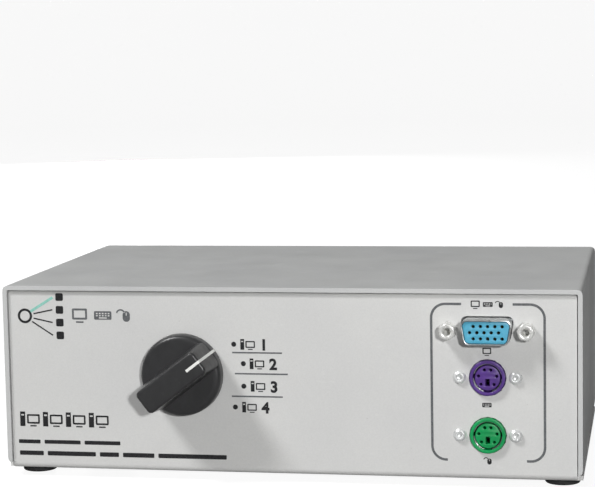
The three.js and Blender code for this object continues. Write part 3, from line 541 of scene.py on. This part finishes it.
def video_shell():
    """Drawn steel collar on a flange, which has a hole for each jackscrew's stud."""
    studs = [circle(STUD_HOLE_RADIUS, side * JACK_SPACING / 2, 0, 20) for side in (-1, 1)]
    back = BEHIND - FLANGE_SHEET
    collar = plate([d_shape(0), d_shape(-SHELL_SHEET)], back, SHELL_REACH, 0.2)
    outline = rectangle(FLANGE_WIDTH, FLANGE_HEIGHT, FLANGE_CORNER)
    flange = plate([outline, d_shape(0.05), *studs], back, BEHIND, 0.1)
    return merged([collar, flange], "video_shell")


def contact_places():
    """The fifteen contacts: three rows of five, the middle row staggered."""
    for row in (-1, 0, 1):
        stagger = -CONTACT_STAGGER if row == 0 else CONTACT_STAGGER
        for column in range(-2, 3):
            yield column * CONTACT_PITCH + stagger, row * CONTACT_ROWS


def video_block():
    """Moulded block with a hole for each contact, and a wider body behind the flange."""
    holes = [circle(0.55, x, y, 16) for x, y in contact_places()]
    face = plate([d_shape(-SHELL_SHEET - BLOCK_GAP), *holes], BLOCK_SHOULDER, BLOCK_REACH, 0.12)
    body = plate([rectangle(BLOCK_WIDTH, BLOCK_HEIGHT, 0.8)], CONNECTOR_BACK, BLOCK_SHOULDER + 0.1, 0.3)
    return merged([face, body], "video_block")


def video_contacts():
    """Spring sleeves just inside the block's holes."""
    sleeve = lathe([(0.5, 0.5), (0.5, 4.9), (0.42, 4.98), (0.3, 4.9), (0.3, 0.5)], 14, closed=True)
    return merged([(sleeve, x, y) for x, y in contact_places()], "video_contacts")


def jackscrew():
    """Hexagonal post with a chamfered end and a threaded bore, on a stud."""
    steps = 48

    def ring(radius, z, hexagon=False):
        points = []
        for i in range(steps):
            a = 2 * math.pi * i / steps
            flat = JACK_HALF_FLATS / math.cos((a + math.pi / 6) % (math.pi / 3) - math.pi / 6)
            r = min(flat, radius) if hexagon else radius
            points.append((r * math.cos(a), r * math.sin(a), z))
        return points

    top = JACK_REACH
    rings = [ring(JACK_STUD - 0.2, -8), ring(JACK_STUD, -7.8), ring(JACK_STUD, 0.15)]
    rings += [ring(2.35, 0.15), ring(2.75, 0.35, True), ring(2.95, 0.6, True)]
    rings += [ring(2.95, top - 0.5, True), ring(2.72, top - 0.25, True), ring(2.4, top - 0.05)]
    rings += [ring(2.25, top), ring(1.62, top), ring(1.5, top - 0.08), ring(THREAD_ROOT, top - 0.3)]
    z = top - 0.3 - THREAD_PITCH / 2
    while z > THREAD_END:
        rings += [ring(THREAD_CREST, z), ring(THREAD_ROOT, z - THREAD_PITCH / 2)]
        z -= THREAD_PITCH
    rings += [ring(1.1, 0.8)]
    return loft(rings, "jackscrew")


def round_socket():
    """Six-pin socket: a collar round a deep groove, and a core with pin holes and a key slot."""
    outside = [(0, SOCKET_BACK), (SOCKET_RADIUS, SOCKET_BACK), (SOCKET_RADIUS, SOCKET_REACH)]
    groove = [(GROOVE_RADIUS, SOCKET_REACH), (GROOVE_RADIUS, GROOVE_FLOOR), (0, GROOVE_FLOOR)]
    collar = lathe(rounded(outside + groove, [0, 0, 0.32, 0.2, 0.2, 0], 4, closed=False), 64)
    holes = [circle(PIN_HOLE_RADIUS, x, y, 16) for x, y in PIN_HOLES]
    holes.append(rectangle(KEY_WIDTH, KEY_HEIGHT, 0.15, 0, KEY_MIDDLE))
    core = plate([circle(CORE_RADIUS, steps=56), *holes], CORE_BACK, CORE_FACE, 0.15)
    outline = rectangle(SOCKET_BLOCK_WIDTH, SOCKET_BLOCK_HEIGHT, 0.8)
    block = plate([outline], CONNECTOR_BACK, SOCKET_BACK + 0.1, 0.3)
    return merged([collar, core, block], "round_socket")


def socket_liner():
    """Sheet steel ring that lines the groove, with three notches for the plug's keys."""
    ring = []
    for middle, span in LINER_ARCS:
        start, end = middle - span / 2, middle + span / 2
        outer = arc(0, 0, LINER_RADIUS, start, end, 20)
        inner = arc(0, 0, LINER_RADIUS - LINER_SHEET, end, start, 20)
        ring.append(plate([outer + inner], LINER_BACK, LINER_TOP, 0.05))
    return merged(ring, "socket_liner")


def rivet():
    """Clinched tubular rivet: a rolled head round a hollow."""
    stem = [(0, -2.3), (RIVET_RADIUS, -2.3), (RIVET_RADIUS, 0.12)]
    head = [(RIVET_HEAD_RADIUS, 0.14), (RIVET_HEAD_RADIUS, 0.45), (1.45, 1.02), (1.0, 1.02)]
    hollow = [(0.78, 0.5), (0.7, -0.1), (0, -0.3)]
    radii = [0, 0, 0, 0.1, 0.22, 0.25, 0.2, 0.2, 0.1, 0]
    return lathe(rounded(stem + head + hollow, radii, 4, closed=False), 32)


def bracket(keyboard_row, mouse_row):
    """Plate behind the panel with a window for each round socket, and the four rivets through both."""
    middle = (keyboard_row + mouse_row) / 2
    height = keyboard_row - mouse_row + 2 * BRACKET_MARGIN
    outline = rectangle(BRACKET_WIDTH, height, BRACKET_CORNER, 0, middle)
    windows = [circle(BRACKET_WINDOW_RADIUS, 0, y, 40) for y in (keyboard_row, mouse_row)]
    sheet = plate([outline, *windows], BEHIND - BRACKET_SHEET, BEHIND, 0.08)
    head = rivet()
    heads = [(head, side * RIVET_SPACING / 2, y) for side in (-1, 1) for y in (keyboard_row, mouse_row)]
    return merged([sheet, *heads], "bracket")


SHELL, BLOCK, CONTACTS, JACK = video_shell(), video_block(), video_contacts(), jackscrew()
SOCKET, LINER = round_socket(), socket_liner()
for column in COLUMNS:
    x, video_row = centre_on_panel(f"vga_shell_{column}", column)
    keyboard_row = centre_on_panel(f"keyboard_socket_{column}", column)[1]
    mouse_row = centre_on_panel(f"mouse_socket_{column}", column)[1]
    video = at(column, x, video_row)
    slotted(f"video_shell_{column}", SHELL, video, "shell_tin", replaces=[f"vga_shell_{column}"])
    slotted(f"video_block_{column}", BLOCK, video, "vga_blue", replaces=[f"vga_insulator_{column}"])
    piece(f"video_contacts_{column}", CONTACTS, video, CONTACT_GOLD)
    for side, sign in (("left", -1), ("right", 1)):
        post = at(column, x + sign * JACK_SPACING / 2, video_row)
        post = post @ Matrix.Rotation(math.radians(JACK_TURN + JACK_TURN_SPREAD * sign), 4, "Z")
        slotted(f"post_{column}_{side}", JACK, post, "jack_steel", replaces=[f"jackscrew_{column}_{side}"])
    for kind, row, slot in (
        ("keyboard", keyboard_row, "keyboard_purple"),
        ("mouse", mouse_row, "mouse_green"),
    ):
        spot = at(column, x, row)
        slotted(f"{kind}_jack_{column}", SOCKET, spot, slot, replaces=[f"{kind}_socket_{column}"])
        slotted(f"{kind}_liner_{column}", LINER, spot, "shell_tin")
    plate_mesh = bracket(keyboard_row, mouse_row)
    spot = at(column, x, 0)
    slotted(f"bracket_{column}", plate_mesh, spot, "bracket_steel", replaces=[f"socket_bracket_{column}"])

# ---------------------------------------------------------------- knob

JOINT = next(joint for joint in frame["joints"] if joint["child"] == "selector")
FIRST_ANGLE = 37  # degrees from the horizontal to the pointer, at position 1
KNOB = FRONT.copy()
KNOB.translation = Vector((JOINT["pos_m"][0], SHEET_LOW.y, JOINT["pos_m"][2]))
KNOB = KNOB @ Matrix.Rotation(math.radians(FIRST_ANGLE), 4, "Z")
SKIRT_RADIUS, SKIRT_FOOT, SKIRT_TOP = 13.6, 0.7, 5.2
RECESS_RADIUS, RECESS_TOP = 8.6, 4.2
GRIP_LENGTH, GRIP_WIDTH, GRIP_TOP = 26.2, 10.4, 17.8
GRIP_DRAFT, GRIP_EDGE, GRIP_CORNER, CORNER_TAPER = 1.0, 0.9, 2.3, 0.7
LINE_HALF_WIDTH, LINE_LIFT, LINE_CROWN, LINE_DEPTH = 0.46, 0.035, 0.05, -0.06


def knob_skirt():
    """Round skirt with a softened shoulder, hollow underneath where the nut is."""
    recess = [(0, RECESS_TOP), (RECESS_RADIUS, RECESS_TOP), (RECESS_RADIUS, SKIRT_FOOT)]
    side = [(SKIRT_RADIUS, SKIRT_FOOT), (SKIRT_RADIUS - 0.2, SKIRT_TOP - 0.25)]
    face = [(SKIRT_RADIUS - 2.4, SKIRT_TOP), (0, SKIRT_TOP)]
    radii = [0, 0.3, 0.2, 0.35, 1.7, 2.0, 0]
    return lathe(rounded(recess + side + face, radii, 8, closed=False), 96)


def knob_grip():
    """The bar: drafted sides, upright edges rounded, and a softer edge round its top."""
    rings = []
    low, high = SKIRT_TOP - 0.7, GRIP_TOP - GRIP_EDGE
    for i in range(7):
        share = i / 6
        corner = GRIP_CORNER - CORNER_TAPER * share
        rings.append((GRIP_DRAFT * share, corner, low + (high - low) * share))
    for i in range(1, 6):
        a = math.pi / 2 * i / 5
        inward = GRIP_EDGE * (1 - math.cos(a))
        corner = GRIP_CORNER - CORNER_TAPER - inward * 0.6
        rings.append((GRIP_DRAFT + inward, corner, high + GRIP_EDGE * math.sin(a)))
    outlines = []
    for shrink, corner, z in rings:
        outline = rectangle(GRIP_LENGTH - 2 * shrink, GRIP_WIDTH - 2 * shrink, corner, steps=5)
        outlines.append([(x, y, z) for x, y in outline])
    return loft(outlines, "grip")


def pointer_line(knob):
    """Painted line over the grip's top, down its end and over the skirt, laid on the knob's surface."""
    bm = bmesh.new()
    bm.from_mesh(knob)
    surface = BVHTree.FromBMesh(bm)
    bm.free()
    down, back = Vector((0, 0, -1)), Vector((-1, 0, 0))
    runs = [((x, 20), down) for x in (6.6, 8, 9.5, 10.6, 11.1, 11.4, 11.7, 11.9, 12.02)]
    runs += [((20, z), back) for z in (17.2, 17.0, 16.7, 16, 13, 9.5, 7, 5.6)]
    runs += [((x, 20), down) for x in (13.15, 13.25)]
    runs += [((20, z), back) for z in (4.3, 3.8, 3.2, 2.4, 1.4)]
    half = LINE_HALF_WIDTH
    section = [(-half, LINE_LIFT), (0, LINE_CROWN), (half, LINE_LIFT)]
    section += [(half, LINE_DEPTH), (-half, LINE_DEPTH)]
    rings = []
    for (x, z), way in runs:
        ring = []
        for y, lift in section:
            hit, normal, _, _ = surface.ray_cast(Vector((x, y, z)) * MM, way)
            ring.append((hit + normal * lift * MM) / MM)
        rings.append(ring)
    return loft(rings, "pointer_line")


KNOB_MESH = joined(knob_skirt(), knob_grip(), "knob")
POINTER = pointer_line(KNOB_MESH)
slotted("knob", KNOB_MESH, KNOB, "knob_plastic", "selector", ["selector_knob"])
piece("pointer_line", POINTER, KNOB, WHITE_INK, "selector")

# ---------------------------------------------------------------- feet


FOOT_RADIUS, FOOT_HEIGHT = 6.0, 3.0


def foot():
    """Stick-on rubber foot: a tapered side, rounded edges and a dished face."""
    side = [(0, 0), (FOOT_RADIUS, 0), (FOOT_RADIUS - 0.3, 0.1 - FOOT_HEIGHT)]
    face = [(4.4, -FOOT_HEIGHT), (2.4, -FOOT_HEIGHT), (1.8, 1 - FOOT_HEIGHT), (0, 1.1 - FOOT_HEIGHT)]
    radii = [0, 0.2, 0.6, 0.3, 0.3, 0.4, 0]
    return lathe(rounded(side + face, radii, 4, closed=False), 48)


FOOT = foot()
for corner in ("front_left", "front_right", "rear_left", "rear_right"):
    low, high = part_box(f"foot_{corner}")
    spot = Matrix.Translation(((low.x + high.x) / 2, (low.y + high.y) / 2, high.z))
    slotted(f"rubber_{corner}", FOOT, spot, "foot_rubber", replaces=[f"foot_{corner}"])

# ---------------------------------------------------------------- print on the panels

PRINT = (-0.01, 0.035)  # from just under the paint's face to the ink's
NUMERAL_SHARE, NUMERAL_WEIGHT = 0.72, 0.055  # a numeral's height in its font, and its added weight
FRAME_LOW, FRAME_CORNER, FRAME_LINE = 6.3, 4.5, 0.8
KEY_ROWS, KEYS_IN_ROW = (0.14, -0.02), 5


def stroke(points, width):
    """The outline of a line of even width along open points."""
    sides = [[], []]
    path = [Vector(p) for p in points]
    for i, here in enumerate(path):
        ahead = path[min(i + 1, len(path) - 1)] - path[max(i - 1, 0)]
        across = Vector((-ahead.y, ahead.x)).normalized() * width / 2
        sides[0].append(tuple(here - across))
        sides[1].append(tuple(here + across))
    return sides[0] + sides[1][::-1]


def bar(x0, x1, y, width):
    return stroke([(x0, y), (x1, y)], width)


def digit(character, height, x, y):
    """A numeral as a flat mesh, from its left foot."""
    text = bpy.data.curves.new(character, "FONT")
    text.body = character
    text.size = height / NUMERAL_SHARE * MM
    text.offset = NUMERAL_WEIGHT * height * MM
    text.extrude = (PRINT[1] - PRINT[0]) / 2 * MM
    holder = bpy.data.objects.new(character, text)
    mesh = bpy.data.meshes.new_from_object(holder)
    bpy.data.objects.remove(holder)
    mesh.transform(Matrix.Translation((x * MM, y * MM, (PRINT[0] + PRINT[1]) / 2 * MM)))
    return mesh


def screen_icon(x, y, size):
    """Outlines of a monitor: a frame, and a stand under it."""
    edge = size * 0.13
    return [
        rectangle(size, size * 0.72, size * 0.08, x, y, 3),
        rectangle(size - 2 * edge, size * 0.72 - 2 * edge, 0.02, x, y, 2),
        rectangle(size * 0.5, size * 0.1, 0.02, x, y - size * 0.52, 2),
    ]


def tower_icon(x, y, size):
    """Outlines of a computer: an upright case with a drive slot and a screen beside it."""
    screen = screen_icon(x + size * 0.22, y, size * 0.86)
    case = [rectangle(size * 0.34, size * 0.95, 0.05, x - size * 0.5, y, 2)]
    slot = [rectangle(size * 0.2, size * 0.1, 0.01, x - size * 0.5, y + size * 0.26, 1)]
    return screen + case + slot


def keys_icon(x, y, size):
    """Outlines of a keyboard: a slab with two rows of keys and a space bar."""
    outlines = [rectangle(size * 1.3, size * 0.62, size * 0.08, x, y, 3)]
    for row in KEY_ROWS:
        for k in range(KEYS_IN_ROW):
            key_x, key_y = x + (k - 2) * size * 0.22, y + row * size
            outlines.append(rectangle(size * 0.13, size * 0.09, 0.01, key_x, key_y, 1))
    outlines.append(rectangle(size * 0.6, size * 0.09, 0.01, x, y - size * 0.18, 1))
    return outlines


def mouse_icon(x, y, size):
    """Outlines of a mouse with its lead."""
    body = rectangle(size * 0.46, size * 0.66, size * 0.22, x + size * 0.2, y - size * 0.05, 5)
    slit = rectangle(size * 0.06, size * 0.2, 0.01, x + size * 0.2, y + size * 0.1, 1)
    lead = stroke(arc(x - size * 0.16, y + size * 0.1, size * 0.26, 20, 165, 10), size * 0.09)
    return [body, slit, lead]


def printed(name, column, outlines, look=DARK_INK, extra=()):
    mesh = merged([plate([*outlines], *PRINT), *extra], name)
    return piece(name, mesh, panel_of(column), look)


def frame_strokes(left, right, high, top_gap, foot_gap, sides=(True, True)):
    """A rounded frame, open at the middle of its top and foot, as strokes."""
    low, radius, width = FRAME_LOW, FRAME_CORNER, FRAME_LINE
    strokes = []
    for edge, inner_top, inner_foot, draws in (
        (left, top_gap[0], foot_gap[0], sides[0]),
        (right, top_gap[1], foot_gap[1], sides[1]),
    ):
        if draws:
            corners = [(inner_top, high), (edge, high), (edge, low), (inner_foot, low)]
            strokes.append(stroke(rounded(corners, radius, 10, closed=False), width))
        else:
            stem = radius + 0.4
            top = rounded([(inner_top, high), (edge, high), (edge, high - stem)], radius, 10, closed=False)
            base = rounded([(edge, low + stem), (edge, low), (inner_foot, low)], radius, 10, closed=False)
            strokes += [stroke(top, width), stroke(base, width)]
    return strokes


# Front: the console's frame and symbols
console = frame_strokes(47.8, 84.0, 57.1, (57.5, 73.9), (52.8, 78.2))
printed("print_console_frame", "console", console, GREY_INK)
symbols = screen_icon(62.0, 57.2, 2.9) + keys_icon(66.0, 57.0, 2.4) + mouse_icon(69.6, 57.0, 2.9)
symbols += screen_icon(65.6, 42.0, 2.8) + keys_icon(65.5, 24.4, 2.3) + mouse_icon(65.6, 6.1, 3.0)
printed("print_console_symbols", "console", symbols)

# Front: the dots, lines, symbols and numerals of the four positions (dot's x and y, symbol's x)
POSITIONS = [(-17.3, 43.1, -12.6), (-14.2, 36.7, -9.6), (-14.2, 29.2, -9.4), (-17.2, 22.2, -12.4)]
DOT_RADIUS, DIVIDER_LINE = 0.85, 0.5
DIVIDERS = [(-17.9, -1.2, 40.35), (-17.1, 0.6, 33.35), (-18.3, -1.2, 25.8)]  # from x to x, at y
marks, numerals = [], []
for number, (dot_x, dot_y, symbol_x) in enumerate(POSITIONS, 1):
    marks.append(circle(DOT_RADIUS, dot_x, dot_y, 16))
    marks += tower_icon(symbol_x, dot_y, 3.7)
    numerals.append(digit(str(number), 3.6, symbol_x + 4.1, dot_y - 1.8))
printed("print_positions", "console", marks, extra=numerals)
printed("print_dividers", "console", [bar(*line, DIVIDER_LINE) for line in DIVIDERS], GREY_INK)

# Front: a plain one-to-four diagram and rows of symbols and bars, in place of marks and words
HUB = (-88.6, 51.8)
HUB_RADIUS, HUB_INSIDE, LEAD_START, LEAD_END = 2.5, 1.7, 3.1, 9.6
SQUARE, SQUARE_X, SQUARE_PITCH = 2.6, 12.1, 4.3
ring = [circle(HUB_RADIUS, *HUB, 40), circle(HUB_INSIDE, *HUB, 40)]
fan = []
for k in range(4):
    end_y = HUB[1] + (1.5 - k) * SQUARE_PITCH
    angle = math.atan2(end_y - HUB[1], 8.5)
    start = (HUB[0] + LEAD_START * math.cos(angle), HUB[1] + LEAD_START * math.sin(angle))
    if k:
        fan.append(stroke([start, (HUB[0] + LEAD_END, end_y)], 0.45))
    fan.append(rectangle(SQUARE, SQUARE, 0.5, HUB[0] + SQUARE_X, end_y, 3))
printed("print_diagram", "console", ring + fan)
lit = stroke([(HUB[0] + 2.0, HUB[1] + 1.5), (HUB[0] + 9.8, HUB[1] + 6.3)], 0.9)
printed("print_diagram_route", "console", [lit], TEAL_INK)
row = screen_icon(-69.6, 52.6, 5.2) + keys_icon(-61.6, 52.2, 4.6) + mouse_icon(-54.6, 52.2, 5.4)
printed("print_symbol_row", "console", row, GREY_INK)
towers = [outline for k in range(4) for outline in tower_icon(-88.0 + 8.0 * k, 16.8, 5.2)]
printed("print_computer_row", "console", towers)


def word_bars(spans, y, height):
    """Plain bars in place of a line of small words."""
    return [rectangle(x1 - x0, height, 0.25, (x0 + x1) / 2, y, 3) for x0, x1 in spans]


bars = word_bars([(-92.2, -84.6), (-83.2, -70.6), (-69.2, -56.8)], 9.1, 1.3)
spans = [(-92.0, -83.6), (-82.2, -65.4), (-64.0, -57.4), (-56.0, -45.2), (-43.8, -20.5)]
printed("print_bars", "console", bars + word_bars(spans, 5.2, 1.5))

# Rear: four frames that share their upright lines, with a symbol and a numeral over each
EDGES = [-92.3, -46.0, 0.4, 46.5, 93.4]
OVERPRINT = 0.006  # every second frame is this much thinner, where it overlaps the one before
port_frames, titles, digits = [], [], []
for k in range(4):
    column = f"port_{k + 1}"
    x = centre_on_panel(f"vga_shell_{column}", column)[0]
    gap = (x - 5.2, x + 5.2)
    strokes = frame_strokes(EDGES[k], EDGES[k + 1], 57.3, gap, gap, sides=(k == 0, True))
    port_frames.append(plate(strokes, PRINT[0], PRINT[1] - (k % 2) * OVERPRINT))
    titles += tower_icon(x - 1.0, 57.4, 2.6)
    digits.append(digit(str(k + 1), 2.5, x + 2.1, 56.2))
    titles += screen_icon(x, 41.8, 2.8) + keys_icon(x, 24.3, 2.3) + mouse_icon(x - 0.2, 6.4, 3.0)
port_frames_mesh = merged(port_frames, "print_port_frames")
piece("print_port_frames", port_frames_mesh, REAR, GREY_INK)
printed("print_port_symbols", "port_1", titles, extra=digits)

# ---------------------------------------------------------------- CAD nodes that stay

BEVEL_WIDTHS = {"chassis": 0.12, "cover": 0.22}
SMALL_BEVEL = 0.08
BEVELLED_ANGLE = math.radians(50)
# A node's own name, or its name without the number or side at its end
SLOTS = {
    "chassis": "panel_paint",
    "cover": "cover_paint",
    "cover_screw": "screw_steel",
    "rear_board": "board_green",
    "console_board": "board_green",
    "rear_ribbon": "ribbon_grey",
    "console_ribbon": "ribbon_grey",
    "selector_frame": "shaft_steel",
    "selector_washer": "shaft_steel",
    "selector_nut": "brass",
    "selector_shaft": "shaft_steel",
    "detent_spring": "spring_steel",
    "detent_wheel": "brass",
    "selector_wafer": "wafer_brown",
    "selector_rotor": "rotor_white",
}
for name, node in frame["nodes"].items():
    if node.hide_render:
        continue
    slot = SLOTS.get(name) or SLOTS[name.rsplit("_", 1)[0]]
    node.data.materials.clear()
    node.data.materials.append(LOOKS[slot])
    weld = node.modifiers.new("weld", "WELD")
    weld.merge_threshold = WELD_DISTANCE
    bevel = node.modifiers.new("edges", "BEVEL")
    bevel.width = BEVEL_WIDTHS.get(name, SMALL_BEVEL) * MM
    bevel.segments = 2
    bevel.limit_method = "ANGLE"
    bevel.angle_limit = BEVELLED_ANGLE
    node.data.shade_smooth()
    even = node.modifiers.new("even", "WEIGHTED_NORMAL")
    even.weight = 100
    even.keep_sharp = True

# ---------------------------------------------------------------- floor, light and camera


FLAT_RADIUS, COVE_RADIUS, BACKDROP_HEIGHT = 2.4, 0.9, 3.4
FLOOR_GLOW = 0.9
AMBIENT = 0.12
MIDDLE = (0, 0, 0.03)


def seamless():
    """A pale floor that curves up into a backdrop on all sides, far behind the object."""
    profile = [(0.8, 0), (1.6, 0), (FLAT_RADIUS, 0)]
    for i in range(1, 9):
        a = i * math.pi / 16
        profile.append((FLAT_RADIUS + COVE_RADIUS * math.sin(a), COVE_RADIUS * (1 - math.cos(a))))
    wall = FLAT_RADIUS + COVE_RADIUS
    profile += [(wall, 2.2), (wall, BACKDROP_HEIGHT)]
    steps = 96
    bm = bmesh.new()
    rings = []
    for r, z in profile:
        turns = [2 * math.pi * i / steps for i in range(steps)]
        rings.append([bm.verts.new((r * math.cos(a), r * math.sin(a), z)) for a in turns])
    bm.faces.new(rings[0])
    for low, high in zip(rings, rings[1:]):
        for i in range(steps):
            j = (i + 1) % steps
            bm.faces.new((low[i], low[j], high[j], high[i]))
    bmesh.ops.recalc_face_normals(bm, faces=bm.faces)
    bmesh.ops.reverse_faces(bm, faces=bm.faces)
    mesh = bpy.data.meshes.new("floor")
    bm.to_mesh(mesh)
    bm.free()
    mesh.shade_smooth()
    look = Look("floor_paper", Specular_IOR_Level=0.1)
    fibres = look.noise(60, 3)
    # The camera sees a floor that glows almost white; the lamps' light finds a grey one
    seen = look.nodes.new("ShaderNodeLightPath").outputs["Is Camera Ray"]
    pale = look.blend(look.spread(fibres, 0.3, 0.7), (0.2, 0.2, 0.2, 1), (0.19, 0.19, 0.19, 1))
    look.color(look.blend(seen, (0.25, 0.25, 0.25, 1), pale))
    look.rough(look.spread(fibres, 0.3, 0.7, 0.8, 0.9))
    look.shader.inputs["Emission Color"].default_value = (1, 1, 1, 1)
    look.link(look.math("MULTIPLY", seen, FLOOR_GLOW), look.shader.inputs["Emission Strength"])
    mesh.materials.append(look.material)
    floor = bpy.data.objects.new("floor", mesh)
    bpy.context.scene.collection.objects.link(floor)
    floor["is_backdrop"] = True


def soft_light(name, power, size, place):
    """A round lamp that faces the object; power in watts, the rest in metres."""
    lamp = bpy.data.lights.new(name, "AREA")
    lamp.shape = "DISK"
    lamp.size = size
    lamp.energy = power
    holder = bpy.data.objects.new(name, lamp)
    bpy.context.scene.collection.objects.link(holder)
    holder.location = place
    holder.rotation_euler = (Vector(MIDDLE) - Vector(place)).to_track_quat("-Z", "Y").to_euler()


seamless()
soft_light("key", 28, 0.42, (-1.0, -0.76, 1.5))
soft_light("front", 8.7, 0.08, (0.46, -1.16, 0.33))
soft_light("rear", 16, 0.05, (-0.5, 1.5, 0.032))

world = bpy.data.worlds.new("studio")
world.use_nodes = True
sky = world.node_tree.nodes["Background"]
sky.inputs["Color"].default_value = (1, 1, 1, 1)
sky.inputs["Strength"].default_value = AMBIENT
scene = bpy.context.scene
scene.world = world
scene.view_settings.view_transform = "Standard"

# The lens and the place of the camera come from fitting the photo's lower view
COVER_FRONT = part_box("cover")[0].y
EYE = Vector((0.1196, COVER_FRONT - 0.6030, UNDERSIDE + 0.1448))
AIM = Vector((0.00475, COVER_FRONT, UNDERSIDE + 0.0765))
ROLL = math.radians(-1.04)
camera = bpy.data.cameras.new("camera")
camera.lens = 115.548
camera.sensor_width = 36
camera.clip_start = 0.01
holder = bpy.data.objects.new("camera", camera)
scene.collection.objects.link(holder)
holder.location = EYE
turn = (AIM - EYE).to_track_quat("-Z", "Y")
holder.rotation_euler = (turn.to_matrix() @ Matrix.Rotation(ROLL, 3, "Z")).to_euler()
scene.camera = holder

low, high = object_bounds()
